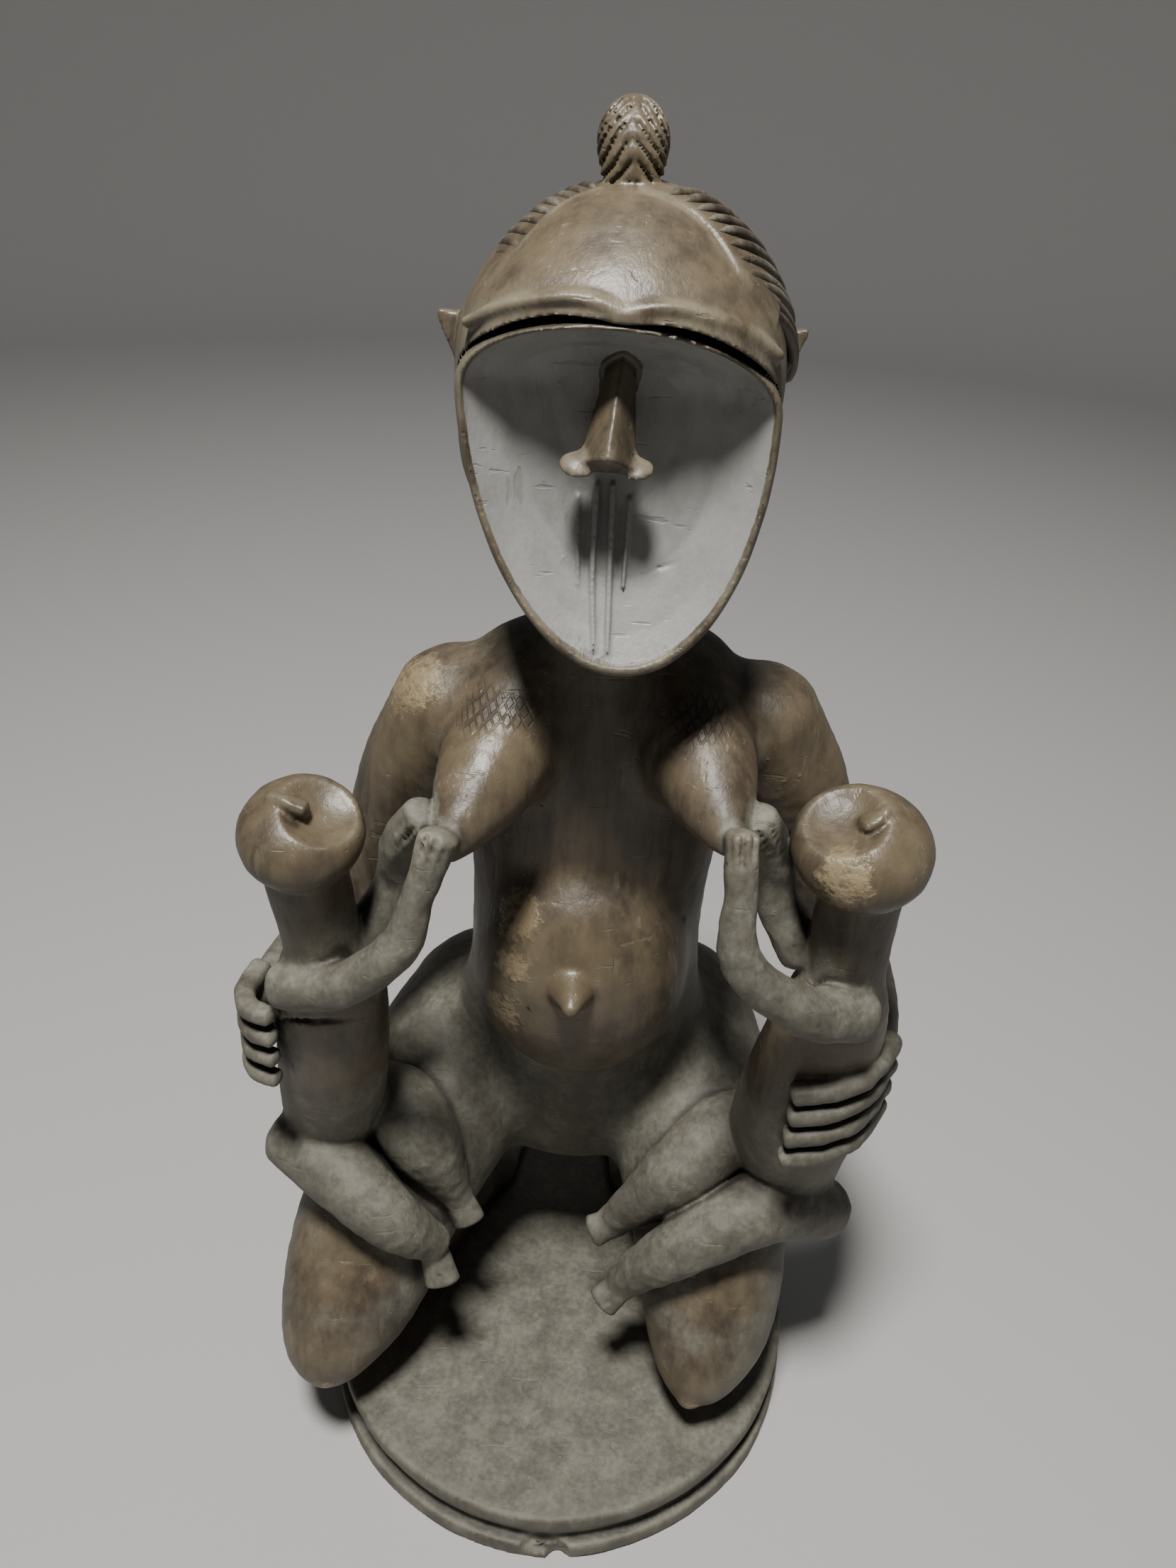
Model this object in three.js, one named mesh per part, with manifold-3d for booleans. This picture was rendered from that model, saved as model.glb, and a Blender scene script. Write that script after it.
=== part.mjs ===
// A kneeling mother on a round base, with a child held at each breast, carved from one block of wood.
// Millimetres, +Z up. The figure looks along -Y, +X is at a viewer's right hand, and the origin is
// the middle of the base's underside.
import * as THREE from 'three';
import { mergeVertices } from 'three/addons/utils/BufferGeometryUtils.js';
import Module from 'manifold-3d';

const wasm = await Module();
wasm.setup();

// Driving sizes. The base has its own. Pose, proportions and carving follow the carving's height.
const carvingHeight = 570; // top of the base to the top of the crest
const baseThickness = 30;
const baseRadius = 121; // the top face's edge
const baseEdgeBreak = 2.5;
const baseNeckRadius = 117; // the narrowest place, above the rim
const rimRadius = 123;
const rimFootRadius = 120.5; // the underside's edge
const rimThickness = 9.5;
const rimChipWidth = 20;
const rimChipDepth = 6;
const baseSides = 36;

// The pose is laid out on a carving 570 mm high, with heights measured from the top of the base.
const unit = carvingHeight / 570;
const place = ([x, y, z]) => new THREE.Vector3(x * unit, y * unit, baseThickness + z * unit);
const acrossX = new THREE.Vector3(1, 0, 0);
const acrossZ = new THREE.Vector3(0, 0, 1);

// A closed three.js geometry as a solid that can be joined and cut.
function solid(geometry) {
  const bare = geometry.clone();
  bare.deleteAttribute('normal');
  bare.deleteAttribute('uv');
  const merged = mergeVertices(bare, 1e-4);
  return new wasm.Manifold(new wasm.Mesh({
    numProp: 3,
    vertProperties: new Float32Array(merged.attributes.position.array),
    triVerts: new Uint32Array(merged.index.array),
  }));
}

// A solid back as a three.js geometry with flat-shaded faces.
function geometryOf(body) {
  const mesh = body.getMesh();
  const geometry = new THREE.BufferGeometry();
  geometry.setAttribute('position', new THREE.BufferAttribute(mesh.vertProperties, 3));
  geometry.setIndex(new THREE.BufferAttribute(mesh.triVerts, 1));
  return geometry;
}

// Rings of points, each as long as the others, closed by a point at both ends.
function skin(rings, first, last) {
  const sides = rings[0].length;
  const points = [first, ...rings.flat(), last];
  const faces = [];
  const end = points.length - 1;
  for (let j = 0; j < sides; j++) {
    const next = (j + 1) % sides;
    faces.push(0, 1 + next, 1 + j);
    for (let i = 0; i < rings.length - 1; i++) {
      const low = 1 + i * sides;
      const high = low + sides;
      faces.push(low + j, low + next, high + next, low + j, high + next, high + j);
    }
    faces.push(end, end - sides + j, end - sides + next);
  }
  const geometry = new THREE.BufferGeometry().setFromPoints(points);
  geometry.setIndex(faces);
  return solid(geometry);
}

// A limb or trunk: stations of x, y, z, half width and half depth, on a smooth line with domed ends.
// A squareness over 2 makes the sections boxier than an ellipse.
function limb(stations, { sides = 12, steps = 1, ends = 2, across = acrossX, squareness = 2, dome = 1 } = {}) {
  const line = new THREE.CatmullRomCurve3(stations.map(place), false, 'catmullrom', 0.5);
  const sizes = stations.map(([, , , wide, deep = wide]) => new THREE.Vector3(wide * unit, deep * unit, 0));
  const widths = new THREE.CatmullRomCurve3(sizes, false, 'catmullrom', 0.5);
  const count = (stations.length - 1) * steps;
  const ring = (t, shift, scale) => {
    const tangent = line.getTangent(t);
    const up = new THREE.Vector3().crossVectors(tangent, across).normalize();
    const side = new THREE.Vector3().crossVectors(up, tangent).normalize();
    const centre = line.getPoint(t).addScaledVector(tangent, shift);
    const size = widths.getPoint(t);
    return Array.from({ length: sides }, (_, j) => {
      const angle = (2 * Math.PI * j) / sides;
      const [c, s] = [Math.cos(angle), Math.sin(angle)];
      const reach = (Math.abs(c) ** squareness + Math.abs(s) ** squareness) ** (-1 / squareness);
      return centre.clone()
        .addScaledVector(side, c * size.x * reach * scale)
        .addScaledVector(up, s * size.y * reach * scale);
    });
  };
  const tip = (t, shift) => line.getPoint(t).addScaledVector(line.getTangent(t), shift);
  const roundness = (t) => Math.min(widths.getPoint(t).x, widths.getPoint(t).y) * dome;
  const rings = [];
  for (let k = ends - 1; k >= 1; k--) {
    const angle = (k / ends) * (Math.PI / 2);
    rings.push(ring(0, -Math.sin(angle) * roundness(0), Math.cos(angle)));
  }
  for (let i = 0; i <= count; i++) {
    rings.push(ring(i / count, 0, 1));
  }
  for (let k = 1; k < ends; k++) {
    const angle = (k / ends) * (Math.PI / 2);
    rings.push(ring(1, Math.sin(angle) * roundness(1), Math.cos(angle)));
  }
  return skin(rings, tip(0, -roundness(0)), tip(1, roundness(1)));
}

// An egg of three half sizes, turned by angles in degrees about X, Y and Z.
function egg(centre, halves, turns = [0, 0, 0], detail = 16) {
  const geometry = new THREE.SphereGeometry(1, detail, Math.round(detail * 0.7));
  geometry.scale(...halves.map((half) => half * unit));
  geometry.rotateX(THREE.MathUtils.degToRad(turns[0]));
  geometry.rotateY(THREE.MathUtils.degToRad(turns[1]));
  geometry.rotateZ(THREE.MathUtils.degToRad(turns[2]));
  geometry.translate(...place(centre));
  return solid(geometry);
}

const join = (bodies) => bodies.reduce((whole, body) => whole.add(body));
const cut = (body, cutters) => cutters.reduce((whole, cutter) => whole.subtract(cutter), body);
const range = (count) => Array.from({ length: count }, (_, i) => i);
const between = (a, b, t) => a.map((value, i) => value + (b[i] - value) * t);

// The round base: a drum with a broken upper edge, drawn in above a wider rim that is chipped in front.
function base() {
  const profile = [
    new THREE.Vector2(0, 0),
    new THREE.Vector2(rimFootRadius, 0),
    new THREE.Vector2(rimRadius, 0.4 * rimThickness),
    new THREE.Vector2(rimRadius, rimThickness),
    new THREE.Vector2(baseNeckRadius, rimThickness),
    new THREE.Vector2(baseRadius, baseThickness - baseEdgeBreak),
    new THREE.Vector2(baseRadius - baseEdgeBreak, baseThickness),
    new THREE.Vector2(0, baseThickness),
  ];
  const drum = new THREE.LatheGeometry(profile, baseSides);
  drum.rotateX(Math.PI / 2);
  const chip = new THREE.BoxGeometry(rimChipWidth, 2 * rimChipDepth, 2 * rimThickness);
  chip.rotateX(0.5);
  chip.rotateZ(0.1);
  chip.translate(0, -rimRadius, rimThickness);
  return cut(solid(drum), [solid(chip)]);
}

// One of the mother's legs: a thick thigh that ends in a pointed knee with a small kneecap, the shin folded
// under it on the base, and the foot at the back.
function motherLeg({ thigh, knee, foot, caps }) {
  const kneecap = caps.map(([x, y, z, r]) => egg([x, y, z], [r, r, r], [0, 0, 0], 6));
  const shin = limb([
    [knee[0], knee[1] + 26, 14, 15, 20],
    [(knee[0] + foot[0]) / 2 + Math.sign(knee[0]) * 8, (knee[1] + foot[1]) / 2, 12, 17, 22],
    [foot[0], foot[1], 11, 14, 15],
  ], { sides: 7 });
  const sole = limb([
    [foot[0], foot[1] - 4, 8, 15, 9],
    [foot[0] * 0.86, foot[1] + 18, 6, 13, 8],
  ], { sides: 6 });
  return join([limb(thigh, { sides: 11, steps: 2 }), shin, sole, ...kneecap]);
}

const leftLeg = motherLeg({
  thigh: [
    [-42, 62, 140, 50], [-66, 30, 122, 46], [-88, -5, 90, 41],
    [-102, -38, 57, 36], [-110, -61, 39, 25], [-113, -72, 31, 11],
  ],
  knee: [-104, -48],
  foot: [-46, 78],
  caps: [[-113, -77, 29, 6.5], [-108, -77, 34, 5]],
});
const rightLeg = motherLeg({
  thigh: [
    [46, 62, 140, 50], [60, 30, 122, 45], [72, -5, 88, 40],
    [75, -36, 55, 35], [71, -57, 37, 24], [67, -69, 28, 11],
  ],
  knee: [76, -46],
  foot: [42, 78],
  caps: [[66, -75, 26, 6], [76, -71, 33, 6]],
});

// The mother's trunk, from the hips over a swelling belly to the neck.
function trunk() {
  const body = limb([
    [2, 52, 118, 62, 46],
    [2, 42, 165, 62, 45],
    [3, 30, 215, 54, 38],
    [3, 24, 255, 52, 34],
    [4, 21, 300, 54, 32],
    [5, 19, 335, 60, 32],
    [5, 17, 362, 56, 28],
    [5, 13, 388, 30, 23],
    [4, 9, 425, 21, 22],
  ], { sides: 12 });
  const belly = egg([1, 2, 232], [48, 35, 60], [6, 0, 0], 13);
  const buttocks = [-34, 38].map((x) => egg([x, 78, 108], [40, 34, 42], [0, 0, 0], 9));
  const navel = limb([[-2, -26, 247, 12], [-2, -38, 249, 7], [-2, -46, 250, 4]], { sides: 6 });
  return join([body, belly, ...buttocks, navel]);
}

// A long breast that narrows to the tip that the child holds.
function breast(root, tip) {
  return limb([
    [...root, 26, 30],
    [...between(root, tip, 0.5), 21, 22],
    [...between(root, tip, 0.85), 11.5, 12],
    [...tip, 6.5],
  ], { sides: 10 });
}

// A shoulder and an arm that reaches down behind the child and round its back, with four fingers.
function motherArm({ stations, fingers }) {
  const digits = range(fingers.count).map((i) => {
    const drop = fingers.drop * (i - (fingers.count - 1) / 2);
    const lower = ([x, y, z]) => [x, y, z + drop];
    return limb([
      [...lower(fingers.knuckle), fingers.thickness],
      [...lower(fingers.bend), fingers.thickness],
      [...lower(fingers.tip), fingers.thickness * 0.9],
    ], { sides: 5, ends: 1, dome: 0.8, across: acrossZ });
  });
  return join([limb(stations, { sides: 8, steps: 2 }), ...digits]);
}

const leftArm = motherArm({
  stations: [
    [-56, 18, 352, 26], [-72, 18, 326, 22], [-84, 20, 296, 19], [-100, 18, 256, 16],
    [-126, -2, 232, 12, 13], [-136, -26, 225, 8, 17],
  ],
  fingers: {
    count: 4, drop: -10.5, thickness: 4.8,
    knuckle: [-138, -26, 225], bend: [-137, -44, 226], tip: [-128, -55, 228],
  },
});
const rightArm = motherArm({
  stations: [
    [68, 18, 352, 26], [86, 18, 326, 22], [98, 20, 296, 19], [116, 16, 256, 16],
    [132, -4, 226, 12, 13], [132, -26, 209, 8, 20],
  ],
  fingers: {
    count: 4, drop: -12, thickness: 4.8,
    knuckle: [134, -34, 210], bend: [116, -56, 212], tip: [97, -60, 208],
  },
});

// The face's outline, seen from the front: a long half ellipse to the chin and a low arch to the brow.
// It sweeps back towards the sides by as much as sweep.
const face = { x: 3, z: 490, halfWidth: 51, drop: 87, arch: 25, front: -51, sweep: 15, sides: 20 };
const faceBack = (x) => face.sweep * (x / face.halfWidth) ** 2;
function faceRing(depth, scale, arch) {
  return range(face.sides).map((j) => {
    const angle = (-2 * Math.PI * j) / face.sides;
    const x = Math.cos(angle) * face.halfWidth * scale;
    const z = Math.sin(angle) * (Math.sin(angle) > 0 ? arch : face.drop) * scale;
    return place([face.x + x, face.front + depth + faceBack(x), face.z + z]);
  });
}

// A form with the face's outline, from pairs of depth behind the rim and scale.
function faceForm(profile, arch = face.arch) {
  const middle = (depth) => place([face.x, face.front + depth, face.z - 12]);
  const rings = profile.map(([depth, scale]) => faceRing(depth, scale, arch));
  return skin(rings, middle(profile[0][0]), middle(profile.at(-1)[0]));
}

// The dome of the head, and a point on it: angle from the top down to either side, at a place front to back.
const dome = { centre: [3, 6, 490], halves: [53, 62, 58] };
function onDome(side, degrees, y, lift) {
  const angle = THREE.MathUtils.degToRad(degrees);
  const shrink = Math.sqrt(Math.max(0, 1 - ((y - dome.centre[1]) / dome.halves[1]) ** 2));
  return [
    dome.centre[0] + side * Math.sin(angle) * (dome.halves[0] + lift) * shrink,
    y,
    dome.centre[2] + Math.cos(angle) * (dome.halves[2] + lift) * shrink,
  ];
}

// Hair: a cap laid on the back of the dome, cut by slanted grooves from its edge backwards.
const hair = { thickness: 3.5, edge: -22, edgeDrop: 27, grooveWidth: 1.5, grooveDepth: 2.8 };
function hairCap() {
  const cap = egg(dome.centre, dome.halves.map((half) => half + hair.thickness), [0, 0, 0], 14);
  const frontPart = new THREE.BoxGeometry(200 * unit, 100 * unit, 200 * unit);
  frontPart.translate(0, -50 * unit, 0);
  frontPart.rotateX(-Math.atan2(hair.edgeDrop, dome.halves[2]));
  frontPart.translate(...place([0, hair.edge, dome.centre[2] + dome.halves[2]]));
  return cut(cap, [solid(frontPart)]);
}
function hairGrooves(side, count, rise) {
  return range(count).map((i) => {
    const degrees = 20 + (66 * i) / (count - 1);
    const edge = hair.edge + hair.edgeDrop * (1 - Math.cos(THREE.MathUtils.degToRad(degrees)));
    const stations = [-2, 31].map((along, k) => [
      ...onDome(side, degrees - rise * k, edge + along, hair.thickness),
      hair.grooveWidth,
      hair.grooveDepth,
    ]);
    return limb(stations, { sides: 3, ends: 1, across: acrossZ });
  });
}

// The crest: a comb over the top of the head, with grooves that slant down both flanks from its ridge.
function crest() {
  const comb = limb([
    [4, -24, 545, 10, 6],
    [3, -10, 554, 11, 11],
    [3, 8, 557, 10.5, 13],
    [3, 32, 548, 9, 11],
    [3, 56, 526, 6, 8],
  ], { sides: 10 });
  const grooves = [-1, 1].flatMap((side) => range(5).map((i) => {
    const y = -22 + 13 * i;
    const top = 569 - 0.018 * (y - 6) ** 2;
    return limb([
      [3 + side * 2, y - 3, top + 1, 2, 2.6],
      [3 + side * 13, y + 5, top - 19, 2, 2.6],
    ], { sides: 3, ends: 1 });
  }));
  return cut(comb, grooves);
}

// The brow: a roll along the dome's lower edge over the face, dipping to a point in the middle.
function brow() {
  const stations = range(9).map((i) => {
    const x = (i - 4) * 12.6;
    const arch = Math.sqrt(1 - (x / 60) ** 2);
    const dip = i === 4 ? 5 : 0;
    return [face.x + x, face.front + 1 + faceBack(x), 486 + 37 * arch - dip, 5, 6];
  });
  return limb(stations, { sides: 6, across: acrossZ });
}

function head() {
  const skull = egg(dome.centre, dome.halves, [0, 0, 0], 16);
  const jaw = limb([
    [3, 8, 430, 24, 20],
    [3, 12, 452, 40, 38],
    [3, 12, 474, 47, 48],
    [3, 10, 492, 50, 54],
  ], { sides: 12 });
  const underBrow = faceForm([[-30, 1.02], [24, 1.02]], face.arch + 4);
  const mask = faceForm([[0, 0.985], [3, 1], [26, 0.97], [40, 0.8]]);
  const dish = faceForm([[-20, 0.95], [1.5, 0.95], [8, 0.84], [16, 0.66], [22, 0.4]]);
  const nose = limb([
    [3, -26, 506, 4, 6],
    [1.5, -34, 489, 6, 9],
    [0.5, -42, 474, 7.5, 10],
  ], { sides: 6 });
  const nostrils = [-1, 1].map((side) => egg([0.5 + side * 8.5, -40, 469], [6, 7, 4.5], [0, 0, 0], 6));
  const lips = [-1, 1].map((side) => limb([
    [-0.5 + side * 3.2, -26, 454, 1.6, 4],
    [0 + side * 3.2, -34, 430, 1.6, 5],
    [1 + side * 2.6, -45, 409, 1.4, 3],
  ], { sides: 4, ends: 1 }));
  const ears = [-1, 1].map((side) => limb([
    [3 + side * 48, 14, 484, 3, 6],
    [3 + side * 54, 13, 494, 6, 4],
    [3 + side * 61, 14, 503, 1.5, 1.5],
  ], { sides: 6, ends: 1 }));
  const helmet = join([cut(join([skull, jaw]), [underBrow]), brow(), hairCap()]);
  return cut(
    join([cut(join([helmet, mask]), [dish]), nose, ...nostrils, ...lips, ...ears, crest()]),
    [...hairGrooves(-1, 10, 7), ...hairGrooves(1, 9, -9)],
  );
}

// A child: it sits on the mother's thigh, tips its dished face up to hers and holds her breast.
function child(c) {
  const trunkOfChild = limb(c.trunk, { sides: 10 });
  const skull = egg(c.head.centre, c.head.halves, c.head.turns, 10);
  const scoop = egg(c.head.scoop, [c.head.halves[0] * 0.8, c.head.halves[1] * 0.74, 10], c.head.turns, 8);
  const noseOfChild = limb(c.nose, { sides: 5, ends: 1 });
  const limbs = [...c.arms, ...c.legs].map((stations) => limb(stations, { sides: 7, across: acrossZ }));
  const feet = c.feet.map(({ ankle, toe, spread, toes }) => {
    const sole = limb([[...ankle, 7, 6], [...toe, 8, 4.5]], { sides: 6, ends: 1, dome: 0.6 });
    const gaps = range(toes - 1).map((i) => {
      const at = toe.map((value, k) => value + spread[k] * (i - (toes - 2) / 2));
      return limb([[...between(at, ankle, -0.5), 1], [...between(at, ankle, 0.3), 1]], { sides: 3, ends: 1 });
    });
    return cut(sole, gaps);
  });
  return join([trunkOfChild, cut(skull, [scoop]), noseOfChild, ...limbs, ...feet]);
}

const leftChild = child({
  trunk: [
    [-113, -12, 142, 23, 22], [-109, -22, 170, 24, 22], [-104, -34, 212, 24, 20],
    [-100, -44, 254, 23, 18], [-101, -46, 278, 16, 15], [-104, -48, 312, 16],
  ],
  head: { centre: [-103, -50, 332], halves: [22, 27, 18], turns: [18, -14, 40], scoop: [-95, -44, 350] },
  nose: [[-98, -50, 338, 4], [-102, -49, 348, 3.5]],
  arms: [
    [[-112, -58, 266, 9], [-90, -66, 275, 7.5], [-66, -68, 297, 7], [-58, -65, 322, 6], [-52, -60, 341, 7]],
    [[-84, -38, 276, 8], [-72, -32, 296, 7], [-68, -36, 322, 6.5], [-60, -44, 338, 7]],
  ],
  legs: [
    [[-129, -26, 142, 14], [-110, -33, 132, 14], [-79, -49, 119, 11.5], [-60, -42, 84, 8.5]],
    [[-92, -10, 162, 14], [-79, -14, 160, 15], [-62, -28, 140, 13], [-50, -24, 98, 8]],
  ],
  feet: [
    { ankle: [-60, -42, 82], toe: [-55, -46, 64], spread: [4.2, 1.5, 1.5], toes: 4 },
    { ankle: [-49, -24, 96], toe: [-44, -26, 83], spread: [4, 2, 2], toes: 1 },
  ],
});
const rightChild = child({
  trunk: [
    [108, -12, 132, 24, 22], [102, -26, 168, 28, 25], [101, -38, 212, 26, 22],
    [104, -45, 254, 23, 18], [105, -46, 280, 16, 15], [104, -48, 318, 16],
  ],
  head: { centre: [103, -50, 340], halves: [22, 27, 19], turns: [18, 14, -40], scoop: [95, -44, 359] },
  nose: [[98, -50, 346, 5], [103, -50, 356, 4.5]],
  arms: [
    [[106, -62, 272, 10], [84, -74, 282, 8], [58, -78, 308, 7], [56, -70, 332, 6], [55, -62, 348, 7]],
    [[88, -40, 282, 8], [76, -36, 302, 7], [70, -36, 328, 6.5], [62, -42, 344, 7]],
  ],
  legs: [
    [[126, -22, 106, 13], [94, -36, 126, 14], [56, -49, 110, 11.5], [30, -42, 66, 8.5]],
    [[92, -10, 150, 14], [72, -18, 150, 14], [48, -30, 128, 12], [24, -16, 78, 8]],
  ],
  feet: [
    { ankle: [30, -42, 64], toe: [20, -46, 55], spread: [-2.6, 2, 3.2], toes: 4 },
    { ankle: [26, -16, 78], toe: [15, -18, 73], spread: [-1, 2.4, 2.4], toes: 1 },
  ],
});

const figure = join([
  base(), leftLeg, rightLeg, trunk(), leftArm, rightArm,
  breast([-25, 18, 360], [-49, -54, 334]), breast([34, 18, 362], [52, -54, 343]),
  head(), leftChild, rightChild,
]);

const darkWood = new THREE.MeshStandardMaterial({ color: 0x4a3626, roughness: 0.5, metalness: 0 });
const mesh = new THREE.Mesh(geometryOf(figure), darkWood);
mesh.name = 'maternity_figure';

const group = new THREE.Group();
group.add(mesh);

export default group;
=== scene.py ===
import math

import bpy
import numpy as np
import openvdb
from mathutils import Color, Matrix, Vector


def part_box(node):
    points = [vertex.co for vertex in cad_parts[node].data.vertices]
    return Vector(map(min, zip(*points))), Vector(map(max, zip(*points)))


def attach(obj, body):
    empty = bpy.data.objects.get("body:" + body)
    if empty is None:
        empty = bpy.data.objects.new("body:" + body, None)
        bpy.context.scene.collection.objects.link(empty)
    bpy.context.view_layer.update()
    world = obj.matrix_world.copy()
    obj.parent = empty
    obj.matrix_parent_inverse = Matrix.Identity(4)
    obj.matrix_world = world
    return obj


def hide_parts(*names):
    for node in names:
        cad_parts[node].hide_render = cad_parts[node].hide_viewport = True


bl_info = {
    "name": "Maternity figure",
    "version": (1, 0, 0),
    "blender": (4, 5, 0),
    "location": "3D View > Sidebar > Figure",
    "description": "Carves a kneeling mother with a child at each breast, with its worn wood and pale face",
    "category": "Object",
}

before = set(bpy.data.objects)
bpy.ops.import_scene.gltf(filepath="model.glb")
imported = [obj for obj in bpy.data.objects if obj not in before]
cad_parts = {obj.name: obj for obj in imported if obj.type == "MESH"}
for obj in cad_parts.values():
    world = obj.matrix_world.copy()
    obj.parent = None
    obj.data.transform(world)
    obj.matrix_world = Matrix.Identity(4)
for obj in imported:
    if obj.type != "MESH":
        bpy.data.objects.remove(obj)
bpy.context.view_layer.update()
NODE = "maternity_figure"
BODY = "root"
FIGURE_TOP = round(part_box(NODE)[1].z, 2)

# The pose is laid out in millimetres on a carving this high, with heights measured from the top of the base.
POSE_HEIGHT = 570.0
# The directions that a limb's section is set square to, and the distance given to what is far from any form.
ACROSS_X = np.array([1.0, 0.0, 0.0])
ACROSS_Y = np.array([0.0, 1.0, 0.0])
ACROSS_Z = np.array([0.0, 0.0, 1.0])
FAR = 24.0
# The seeds of the two pieces' knife marks, and how far a mark's slope reaches from its middle, as a share of
# its width, squared.
BODY_SEED, HEAD_SEED = 11, 23
SCOOP_SHARE = 0.45

TRUNK = [
    (2, 52, 118, 62, 46), (2, 42, 165, 62, 45), (3, 30, 215, 54, 38), (3, 24, 255, 52, 34),
    (4, 21, 300, 54, 32), (5, 19, 335, 60, 32), (5, 17, 362, 56, 28), (5, 13, 388, 30, 23),
    (4, 9, 425, 21, 22),
]
BELLY = ((1, 2, 232), (48, 35, 60), (6, 0, 0))
NAVEL = [(-2, -26, 247, 12), (-2, -38, 249, 7), (-2, -46, 250, 4)]
BUTTOCKS = [(-34, 78, 108), (38, 78, 108)]
BUTTOCK_HALVES = (40, 34, 42)
SPINE = [(2, 84, 196, 3, 4), (3, 68, 235, 3, 4), (3, 58, 275, 3, 4), (4, 54, 320, 3, 4), (5, 49, 352, 2, 3)]

LEFT_LEG = {
    "thigh": [(-42, 62, 140, 50), (-66, 30, 122, 46), (-88, -5, 90, 41), (-102, -38, 58, 35),
              (-110, -60, 41, 23), (-110, -72, 37, 8.5)],
    "knee": (-104, -48),
    "foot": (-46, 78),
    "caps": [(-110, -77, 35, 5.5), (-106, -75, 41, 4.5)],
}
RIGHT_LEG = {
    "thigh": [(46, 62, 140, 50), (60, 30, 122, 45), (72, -5, 88, 40), (75, -36, 55, 34), (71, -57, 38, 22.5),
              (66, -70, 31, 8.5)],
    "knee": (76, -46),
    "foot": (42, 78),
    "caps": [(65.5, -75, 29, 5.5), (73, -71, 36, 5)],
}

BREASTS = [((-25, 18, 360), (-49, -54, 334)), ((34, 18, 362), (52, -54, 343))]

LEFT_ARM = {
    "arm": [(-56, 18, 352, 26), (-72, 18, 326, 22), (-84, 20, 296, 19), (-100, 18, 256, 16),
            (-126, -2, 232, 12, 13), (-136, -26, 225, 8, 17)],
    "fingers": {"drop": -11.5, "thickness": 4.5,
                "line": [(-135, -24, 226), (-137, -40, 227), (-132, -52, 229), (-123, -57, 230)]},
}
RIGHT_ARM = {
    "arm": [(68, 18, 352, 26), (86, 18, 326, 22), (98, 20, 296, 19), (116, 16, 256, 16),
            (132, -4, 226, 12, 13), (132, -26, 209, 8, 20)],
    "fingers": {"drop": -12.4, "thickness": 5.2,
                "line": [(134, -34, 212), (120, -56, 214), (106, -64, 213), (91, -65, 210)]},
}
FINGER_COUNT = 4
TOE_GROOVES, TOE_WIDTH, SOLE_TURN = 4, 5.6, 0.86

LEFT_CHILD = {
    "trunk": [(-113, -12, 142, 23, 22), (-109, -22, 170, 24, 22), (-104, -34, 212, 24, 20),
              (-100, -44, 254, 23, 18), (-101, -46, 278, 16, 15), (-104, -48, 312, 16)],
    "head": ((-104, -50, 333), (23.5, 23.5, 17), (18, -14, 40)),
    "scoop": ((-95.5, -54, 348.5), (17, 17.5, 8.5), (22, 18, 20)),
    "nose": [(-114, -51, 347, 4.5, 5), (-107, -53, 346, 4.5, 6), (-100, -54, 345, 4, 5.5)],
    "ledge": [(-120, -52, 240, 0.5), (-112, -57, 247, 1.2), (-99, -61, 250, 1.3), (-86, -58, 249, 1),
              (-79, -51, 246, 0.4)],
    "arms": [
        [(-114, -56, 264, 10.5), (-90, -66, 274, 9), (-67, -68, 296, 8), (-59, -66, 320, 6.3),
         (-52, -61, 341, 8, 6.5)],
        [(-86, -38, 276, 9), (-74, -32, 298, 8.5), (-70, -37, 322, 8), (-60, -46, 340, 8.5, 7)],
    ],
    "legs": [
        [(-130, -27, 145, 15), (-109, -36, 137, 17), (-81, -52, 122, 14), (-61, -47, 97, 9)],
        [(-92, -8, 158, 14), (-79, -15, 154, 18), (-67, -25, 141, 17), (-53, -27, 110, 8.5)],
    ],
    "feet": [
        {"ankle": (-61, -47, 94), "toe": (-56, -54, 79), "spread": (4.2, 1.5, 1.5), "toes": 4},
        {"ankle": (-52, -28, 108), "toe": (-46, -33, 97), "spread": (4, 2, 2), "toes": 1},
    ],
}
RIGHT_CHILD = {
    "trunk": [(108, -12, 132, 24, 22), (102, -26, 168, 28, 25), (101, -38, 212, 26, 22),
              (104, -45, 254, 23, 18), (105, -46, 280, 16, 15), (104, -48, 318, 16)],
    "head": ((101, -50, 340), (26, 25.5, 18.5), (18, 14, -40)),
    "scoop": ((92.5, -54, 357), (17.5, 18, 8.5), (22, -18, -20)),
    "nose": [(112, -50, 353, 5, 5), (105, -52, 353, 5, 6.5), (98.5, -53.5, 351, 4.5, 6)],
    "ledge": [],
    "arms": [
        [(108, -60, 270, 12), (85, -73, 280, 9.5), (59, -78, 306, 8), (56, -71, 331, 6.3),
         (55, -62, 349, 8.5, 6.5)],
        [(88, -40, 282, 9), (76, -36, 304, 8.5), (71, -39, 328, 8), (62, -46, 346, 8.5, 7)],
    ],
    "legs": [
        [(127, -23, 108, 14), (95, -38, 127, 16.5), (57, -51, 112, 13.5), (31, -45, 76, 9)],
        [(92, -10, 152, 15), (73, -18, 152, 17), (50, -29, 132, 15), (26, -18, 86, 8.5)],
    ],
    "feet": [
        {"ankle": (31, -46, 74), "toe": (21, -52, 66), "spread": (-2.6, 2, 3.2), "toes": 4},
        {"ankle": (27, -19, 85), "toe": (15, -22, 80), "spread": (-1, 2.4, 2.4), "toes": 1},
    ],
}

# The sides of the children's feet and hands that show their grooves, and the grooves' places across a hand.
TOE_SIDE = np.array([0, -4, 3.0])
HAND_SIDE = np.array([0.0, -1.0, 0.25])
GROOVE_OFFSETS = (-0.55, -0.05, 0.45)

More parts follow.
